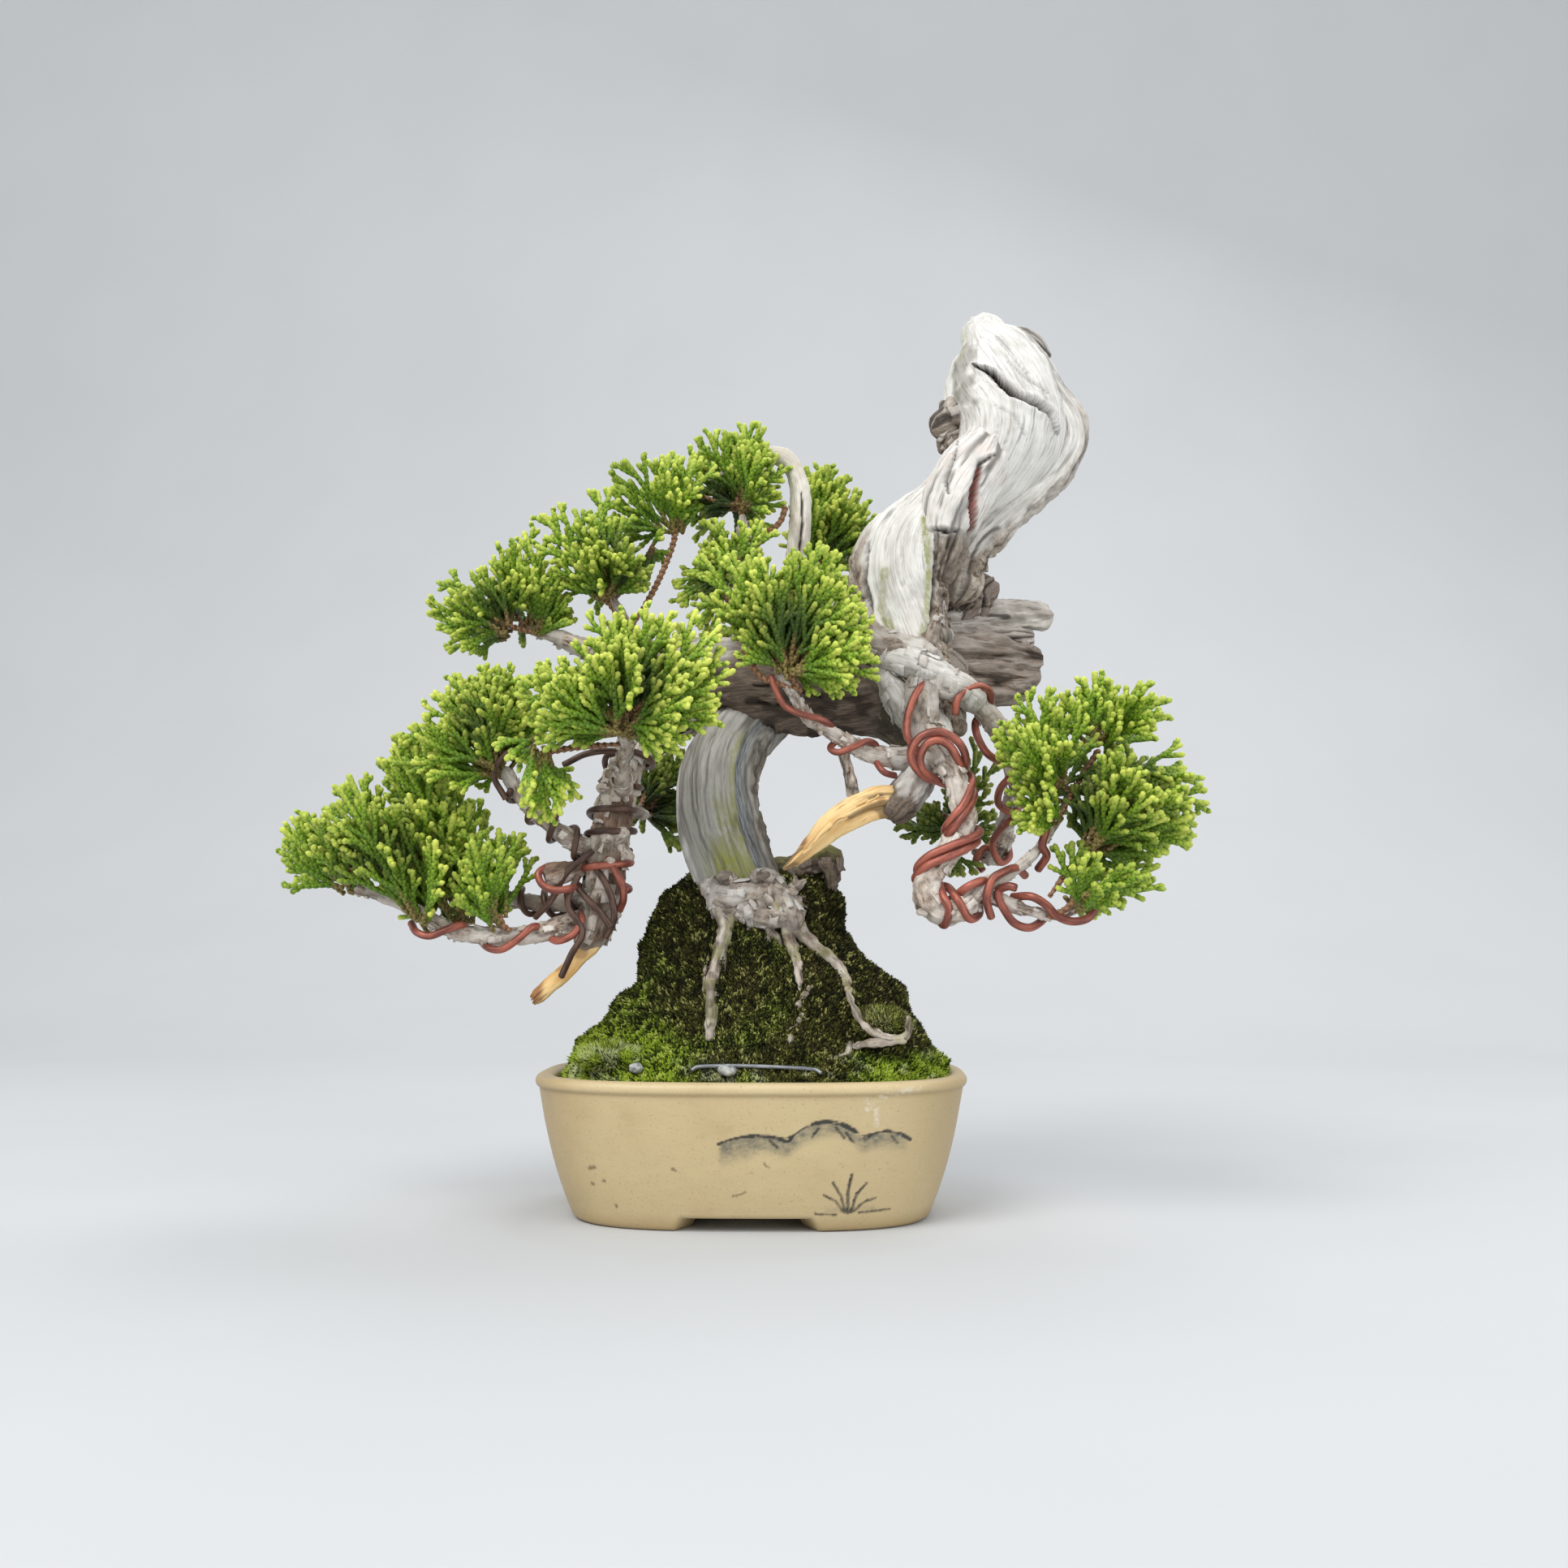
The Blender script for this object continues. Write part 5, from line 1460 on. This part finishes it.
makeDressing()
print("wires, pebbles and cushions ready")


# foliage: every pad is many cord-like shoots set with scale leaves

leaf = {
    "thick": 0.53, "pitch": 1.2, "ring": 0.24, "sides": 8,
    "deep": (26, 48, 8), "mid": (106, 146, 26), "bright": (162, 194, 50), "tip": (214, 222, 100), "twig": (168, 126, 92),
}
pads = {
    # centre and half sizes of each pad, then its fans: depth, hub, tips seen from the front, and how many filling sprays
    "foliage_low_left": ((-67, -11, 67), (19.6, 20, 13.4), [
        (-10, (-75, 59), [(-88, 68), (-87, 71), (-84, 73), (-81, 72), (-77, 72), (-72, 63)]),
        (-12, (-60, 53), [(-78, 76), (-75, 81), (-72, 78), (-65, 70), (-63, 65), (-55, 73), (-57, 56)]),
        (-6, (-54, 53), [(-71, 85), (-68, 80), (-66, 89), (-64, 88), (-61, 83), (-59, 81), (-51, 74), (-54, 62)]),
        (-14, (-46, 52), [(-47, 71), (-49, 65), (-52, 70), (-54, 62)])], 16),
    "foliage_mid_left": ((-48.6, -15, 90), (11.4, 14, 11.8), [
        (-15, (-46, 81), [(-63, 89), (-65, 86), (-59, 96), (-57, 90), (-55, 100), (-53, 98), (-49, 100), (-46, 99), (-41, 94), (-57, 81),
                          (-51, 94), (-46, 92)])], 14),
    "foliage_front_left": ((-18.6, -33, 93.6), (15.6, 14, 13), [
        (-33, (-21, 86), [(-39, 95), (-36, 95), (-35, 98), (-32, 97), (-28, 102), (-25, 106), (-23, 107), (-16, 106), (-12, 107), (-4, 105),
                          (-4, 101), (-6, 97), (-5, 91), (-10, 87), (-12, 84), (-38, 87)]),
        (-28, (-36, 84), [(-34, 71), (-31, 75), (-35, 73), (-40, 81)])], 18),
    "foliage_upper_left": ((-49.6, 3, 115), (14.6, 17, 10.6), [
        (0, (-48, 110), [(-64, 114), (-61, 120), (-59, 116), (-54, 123), (-48, 126), (-57, 107), (-60, 110), (-52, 119)]),
        (3, (-43, 110), [(-47, 128), (-46, 131), (-38, 122), (-42, 118), (-44, 124), (-37, 114)])], 16),
    "foliage_upper_mid": ((-27.4, 4, 124), (12.6, 16, 12), [
        (2, (-29, 117), [(-42, 134), (-36, 135), (-31, 138), (-26, 133), (-24, 128), (-40, 131), (-33, 131), (-38, 124), (-20, 124)]),
        (6, (-16, 131), [(-30, 138), (-27, 141), (-20, 146), (-16, 148), (-12, 148), (-12, 145)])], 16),
    "foliage_inner_crown": ((-9, 5, 120.4), (9.4, 10, 7.6), [
        (8, (-3, 124), [(-10, 134), (-11, 129), (-6, 132), (1, 134), (-9, 125), (-15, 124), (-16, 118), (-12, 113)])], 12),
    "foliage_crown": ((-8, 15, 139.6), (16, 13, 10.6), [
        (13, (-3, 138), [(-12, 150), (-9, 153), (-6, 154), (-3, 155), (-1, 153), (1, 152), (4, 149), (2, 143), (3, 137), (-15, 142)])], 14),
    "foliage_crown_back": ((16.4, 29, 135.6), (9, 11, 12), [
        (28, (11, 128), [(11, 149), (14, 151), (18, 149), (21, 147), (24, 142), (24, 137), (21, 132), (14, 146), (18, 142), (20, 126), (12, 140)])], 18),
    "foliage_front_centre": ((7.4, -23, 107), (14.6, 13, 12.8), [
        (-21, (7, 98), [(-8, 121), (-4, 120), (0, 120), (2, 118), (8, 119), (13, 122), (16, 120), (19, 114), (21, 111), (22, 107), (24, 101),
                        (19, 96), (-4, 110), (6, 116), (11, 116), (0, 108)])], 16),
    "foliage_right": ((65, -16, 76), (20.4, 20, 17.6), [
        (-16, (56, 78), [(43, 88), (48, 91), (51, 95), (55, 94), (48, 84), (52, 82), (59, 92), (62, 86)]),
        (-14, (64, 86), [(57, 96), (61, 98), (63, 99), (66, 97), (68, 96), (70, 94), (76, 94), (74, 89)]),
        (-18, (61, 67), [(66, 85), (69, 84), (71, 80), (74, 79), (75, 78), (78, 77), (81, 72), (79, 69), (74, 66), (62, 80), (64, 77)]),
        (-19, (58, 57), [(64, 56), (73, 64), (62, 63), (58, 68), (68, 62)]),
        (-17, (56, 72), [(49, 77), (47, 72), (49, 71), (52, 74)])], 18),
    "foliage_right_back": ((38.6, 24, 73), (10, 11, 9.6), [
        (20, (41, 72), [(29, 73), (33, 78), (38, 82), (44, 90), (45, 83), (42, 65), (36, 76), (47, 76)])], 10),
    "foliage_left_back": ((-21.6, 20, 78), (8.6, 11, 12), [
        (22, (-24, 77), [(-18, 90), (-15, 87), (-19, 84), (-16, 80), (-20, 89), (-13, 74), (-16, 68), (-28, 88)])], 10),
    "foliage_rear": ((-8, 36, 107), (17, 12.6, 12), [
        (34, (-8, 104), [(-22, 112), (-18, 118), (-10, 120), (-2, 119), (6, 113), (8, 106), (-24, 105)])], 20),
}
padTwigs = {
    "foliage_low_left": [[(-54, -13, 52), (-56, -10, 53), (-54, -6, 54)], [(-42, -12, 51), (-45, -13.4, 52.6), (-46, -14, 55)],
        [(-53.6, -3.4, 61), (-58, -4, 64), (-62, -5, 70)], [(-66, -12.4, 57.4), (-62, -12.6, 60), (-62, -12, 66)]],
    "foliage_mid_left": [[(-41.4, -14, 75.6), (-45, -14.6, 80), (-48, -15, 86)], [(-44, -14.6, 79), (-50, -14, 83)]],
    "foliage_front_left": [[(-21.4, -26, 84.4), (-22, -31, 88), (-26, -33, 92)], [(-22, -28, 84.6), (-30, -28, 84), (-36, -28, 83)],
        [(-21, -30, 87), (-16, -33, 90), (-12, -33, 92)]],
    "foliage_upper_left": [[(-39.6, 4, 110), (-46, 2, 111), (-52, 0, 113)]],
    "foliage_upper_mid": [[(-25.4, 5, 111.6), (-29, 3, 117), (-32, 2, 123)], [(-25, 5, 111), (-20, 6, 120), (-16.4, 6, 129), (-16, 6, 134)]],
    "foliage_inner_crown": [[(-2, 10, 112), (-5, 8, 117), (-8, 6, 121)]],
    "foliage_crown": [[(-2.6, 14, 128.6), (-3, 13.4, 136), (-5, 13, 143)], [(-2.8, 14, 131), (4, 14, 134.6), (6, 13.4, 138.6)]],
    "foliage_crown_back": [[(13.4, 26, 123.4), (12, 27.6, 130), (14, 28, 138)]],
    "foliage_front_centre": [[(9.6, -19.4, 95), (7, -21, 99), (4, -22, 105)], [(8, -20.4, 97.4), (11, -22, 102), (13, -23, 108)],
        [(9.4, -19.6, 95.4), (2.4, -20.6, 97.6), (-1, -21, 103)]],
    "foliage_right": [[(44, -18, 61), (50, -17.4, 64), (54, -17, 69), (56, -16.6, 76)], [(50, -18, 56), (54, -18, 54.4), (58, -18.6, 57),
        (62, -18.4, 63)], [(54, -17.4, 58), (57, -17, 62), (61, -17.6, 67)], [(56, -17, 72), (60, -15.4, 79), (64, -14.4, 85)]],
    "foliage_right_back": [[(43.6, 15.6, 68.6), (41, 20, 72), (38, 22, 76)]],
    "foliage_left_back": [[(-22.4, 9.6, 75), (-24, 17, 77), (-22, 21, 81)]],
    "foliage_rear": [[(-5.6, 26, 103.4), (-8, 31, 105), (-10, 35, 110)]],
}


def bentPath(start, end, bow, step):
    # a shoot that leaves its stem one way and turns gently towards its tip
    length = np.linalg.norm(end - start)
    t = np.linspace(0, 1, max(4, int(length / step) + 1))[:, None]
    control = (start + end) / 2 + bow
    return (1 - t) ** 2 * start + 2 * t * (1 - t) * control + t * t * end


def growSpray(shoots, start, tip, normal, rng, woody, tone):
    # one main shoot with side shoots on both hands, and short ones on the longer of those
    length = np.linalg.norm(tip - start)
    aim = (tip - start) / length
    normal = unit(normal - (normal @ aim) * aim)
    side = np.cross(normal, aim)
    bow = side * rng.normal(0, 0.05) * length + normal * rng.normal(0, 0.06) * length - np.array([0, 0, 0.05]) * length
    main = bentPath(start, tip, bow, leaf["ring"])
    shoots.append((main, leaf["thick"] * rng.uniform(0.98, 1.14), woody, 0.15, 1.0, tone, normal))
    at = 0.16 * length + rng.uniform(0, 1.2)
    hand = 1 if rng.random() < 0.5 else -1
    while at < length * 0.95:
        i = min(int(at / length * (len(main) - 1)), len(main) - 2)
        t = at / length
        forward = unit(main[i + 1] - main[i])
        run = min(8.5, max(1.8, (1 - t) * length * 0.62 + 1.6)) * rng.uniform(0.6, 1.2)
        angle = math.radians(rng.uniform(22, 38))
        off = unit(side * hand + normal * rng.normal(0, 0.28))
        go = forward * math.cos(angle) + off * math.sin(angle)
        end = main[i] + go * run + forward * run * 0.16 + np.array([0, 0, 0.06]) * run
        sub = bentPath(main[i], end, -forward * run * 0.05 + off * run * 0.06, leaf["ring"])
        shoots.append((sub, leaf["thick"] * rng.uniform(0.9, 1.05), 0.0, 0.3 + 0.2 * t, 1.0, tone, normal))
        if run > 2.9:
            spot, turn = max(1.0, run * rng.uniform(0.25, 0.5)), -hand if rng.random() < 0.5 else hand
            while spot < run * 0.94:
                k = min(int(spot / run * (len(sub) - 1)), len(sub) - 2)
                ahead = unit(sub[k + 1] - sub[k])
                out = np.cross(normal, ahead) * turn
                angle = math.radians(rng.uniform(26, 42))
                short = min(3.4, max(1.2, (run - spot) * 0.6 + 0.9)) * rng.uniform(0.8, 1.2)
                go = ahead * math.cos(angle) + unit(out + normal * rng.normal(0, 0.35)) * math.sin(angle)
                end = sub[k] + go * short + ahead * short * 0.12
                shoots.append((bentPath(sub[k], end, out * short * 0.05, leaf["ring"]), leaf["thick"] * rng.uniform(0.86, 1.02), 0.0, 0.55, 1.0,
                               tone, normal))
                spot += rng.uniform(1.7, 2.5)
                turn = -turn
        at += rng.uniform(1.9, 3.4)
        hand = -hand


def shootMesh(shape, shoots, centre, half, rng):
    # every shoot is a thin tube whose rings swell and shrink like pairs of scale leaves
    sides, columns = leaf["sides"], 56
    total = sum(len(s[0]) for s in shoots)
    room = total / columns * 1.03 + 12
    column, fill = 0, 0.0
    places, tangents, normals, thick, woody, age, tone, along, left, phase, lay, first, last = ([] for _ in range(13))
    count = 0
    for path, r, wood, young, old, t, normal in shoots:
        n = len(path)
        s = arcLength(path)
        places.append(path)
        tangents.append(unit(np.gradient(path, axis=0)))
        normals.append(np.repeat(normal[None], n, 0))
        thick.append(np.full(n, r))
        share = s / s[-1]
        woody.append(wood * smooth(0.32, 0.12, share))
        age.append(young + (old - young) * share)
        tone.append(np.full(n, t))
        along.append(s)
        left.append(s[-1] - s)
        phase.append(np.full(n, rng.random()))
        if fill + n > room:
            column, fill = column + 1, 0.0
        lay.append(np.stack([np.full(n, column / (columns + 1)), (fill + np.arange(n)) / room], 1))
        fill += n + 1
        first.append(count)
        last.append(count + n - 1)
        count += n
    places, tangents, normals = np.concatenate(places), np.concatenate(tangents), np.concatenate(normals)
    thick, woody, age, tone, along, left, phase = [np.concatenate(a) for a in (thick, woody, age, tone, along, left, phase)]
    lay = np.concatenate(lay)
    sideA = unit(np.cross(tangents, normals))
    sideB = np.cross(sideA, tangents)
    turn = np.arange(sides) / sides * twoPi
    u = (along / leaf["pitch"] + phase) % 1
    w = (u + 0.5) % 1
    rise = u ** 0.75 * (1 - smooth(0.78, 1, u))
    other = w ** 0.75 * (1 - smooth(0.78, 1, w))
    c2, s2 = np.cos(turn) ** 2, np.sin(turn) ** 2
    relief = rise[:, None] * c2 + other[:, None] * s2
    radius = thick[:, None] * (0.66 + 0.58 * relief)
    radius = radius * (1 - 0.3 * woody[:, None])
    swell = 1 + 0.1 * smooth(2.0, 0.8, left) * (1 - woody)
    dome = np.sqrt(np.clip(1 - (1 - np.minimum(left / 0.62, 1)) ** 2, 0.03, 1))
    radius = radius * (swell * dome)[:, None]
    grid = places[:, None] + radius[..., None] * (np.cos(turn)[None, :, None] * sideA[:, None] + np.sin(turn)[None, :, None] * sideB[:, None])
    inner = np.linalg.norm((places - centre) / half, axis=1)
    start = np.ones(count, bool)
    start[np.array(last)] = False
    i = np.nonzero(start)[0][:, None] * sides
    j = np.arange(sides)[None]
    k = (j + 1) % sides
    quads = np.stack([i + k, i + j, i + sides + j, i + sides + k], -1).reshape(-1, 4)
    f, l = np.array(first)[:, None], np.array(last)[:, None]
    caps = np.concatenate([places[f[:, 0]] - tangents[f[:, 0]] * 0.1, places[l[:, 0]] + tangents[l[:, 0]] * 0.06])
    capIds = count * sides + np.arange(len(caps))
    tris = np.concatenate([
        np.stack([f * sides + j, f * sides + k, np.broadcast_to(capIds[:len(first), None], (len(first), sides))], -1).reshape(-1, 3),
        np.stack([l * sides + k, l * sides + j, np.broadcast_to(capIds[len(first):, None], (len(first), sides))], -1).reshape(-1, 3)])

    def spread(a):
        full = np.repeat(a, sides)
        return np.concatenate([full, a[f[:, 0]], a[l[:, 0]]])

    looks = np.stack([spread(age), np.concatenate([relief.ravel(), np.full(len(caps), 0.8)]), spread(woody), spread(inner)], -1)
    wide = np.arange(sides) / sides * 0.85 / (columns + 1)
    layout = (lay[:, None] + np.stack([wide, 0 * wide], -1)[None]).reshape(-1, 2)
    layout = np.concatenate([layout, lay[f[:, 0]] + (0.4 / (columns + 1), 0), lay[l[:, 0]] + (0.4 / (columns + 1), 0)])
    shape.add(np.concatenate([grid.reshape(-1, 3), caps]), quads, tris, looks=np.clip(looks, 0, 1), tone=spread(tone), layout=layout)


def leafFinish(name, shade=1.0, yellow=0.0):
    g = leaf
    green = Finish(name, Specular_IOR_Level=0.35)
    age, relief, woody, inner = green.channels("looks")
    tone = green.value("tone")
    spot = green.cloud(green.body(), 0.9, 2.0)
    colour = green.mix(tint(*[c * shade for c in g["deep"]]), tint(*[c * shade for c in g["mid"]]), (relief * 1.15 + spot * 0.5 - 0.2).held())
    young = age.between(0.3, 1.0) * relief.between(0.15, 0.7) * (tone * 0.6 + 0.45)
    colour = green.mix(colour, tint(*[c * shade for c in g["bright"]]), young.held())
    colour = green.mix(colour, tint(*[c * shade for c in g["tip"]]), (age.between(0.72, 1.0) * (tone * 0.8 + 0.2 + yellow)).held())
    colour = green.mix(tint(*[c * shade * 0.8 for c in g["deep"]]), colour, (inner.between(0.1, 0.85) * 0.85 + 0.15).held())
    bark = green.mix(tint(92, 60, 38), tint(*g["twig"]), relief.between(0.2, 0.7))
    green.feed("Base Color", green.mix(colour, bark, woody))
    green.feed("Roughness", relief * -0.12 + 0.56)
    green.feed("Normal", green.bump(green.cloud(green.body(), 4.0, 2.0), 0.08, 0.4))
    return green.material


def makePads():
    for number, (name, (centre, half, fans, fill)) in enumerate(pads.items()):
        rng = np.random.default_rng(700 + number)
        centre, half = np.array(centre, float), np.array(half, float)
        shoots = []
        for y, hub, tips in fans:
            for x, z in tips:
                for share in (-0.05, 0.42) if rng.random() < 0.55 else (-0.05, 0.42, -0.5):
                    dy = (share + rng.normal(0, 0.12)) * half[1]
                    shrink = 1.0 if share == -0.05 else rng.uniform(0.62, 0.92)
                    tip = np.array([hub[0] + (x - hub[0]) * shrink, y + dy, hub[1] + (z - hub[1]) * shrink])
                    tip = tip + rng.normal(0, 0.4 if share == -0.05 else 1.6, 3)
                    start = np.array([hub[0], y, hub[1]]) + rng.normal(0, 0.7, 3) + (0, dy * 0.25, 0)
                    middle = start + (tip - start) * rng.uniform(0.0, 0.12)
                    normal = np.array([rng.normal(0, 0.35), -1.0, rng.normal(0, 0.35)])
                    growSpray(shoots, middle, tip, normal, rng, 0.6, float(np.clip(rng.normal(0.55, 0.22), 0, 1)))
        hubs = [np.array([hub[0], y, hub[1]], float) for y, hub, _ in fans]
        for turn in range(int(fill * 0.9)):
            d = rng.normal(0, 1, 3)
            d[1] = abs(d[1]) if turn % 4 else -abs(d[1])
            d[2] = abs(d[2]) * 0.9 - 0.25
            d[1] *= 1.25
            d = unit(d)
            tip = centre + d * half * rng.uniform(0.7, 1.0)
            hub = min(hubs, key=lambda h: np.linalg.norm(tip - h)) * 0.6 + centre * 0.4
            gap = np.linalg.norm(tip - hub)
            start = tip + (hub - tip) * min(1.0, 13 / gap)
            normal = unit(rng.normal(0, 1, 3) + np.cross(d, (0, 0, 1)) * 0.5)
            growSpray(shoots, start, tip, normal, rng, 0.8, float(np.clip(rng.normal(0.5, 0.22), 0, 1)))
        shape = Shape()
        shootMesh(shape, shoots, centre, half, rng)
        for line in padTwigs.get(name, []):
            # a brown scaly stretch of stem inside the pad, woody from end to end
            path = smoothRoute([(*p, 0) for p in line], 0.3)[:, :3]
            shootMesh(shape, [(path, 0.62, 1.0, 0.0, 0.1, 0.5, np.array([0.2, -1.0, 0.1]))], centre, half, rng)
            shape.values["looks"][-1][:, 2] = 1.0
        dark = 0.72 if name in ("foliage_right_back", "foliage_left_back") else 1.0
        yellow = 0.15 if name in ("foliage_front_left", "foliage_crown_back") else 0.0
        shape.make(name + "_sprays", leafFinish(name.replace("foliage", "green"), dark, yellow), name, "juniper_leaf")


makePads()
print("foliage ready")
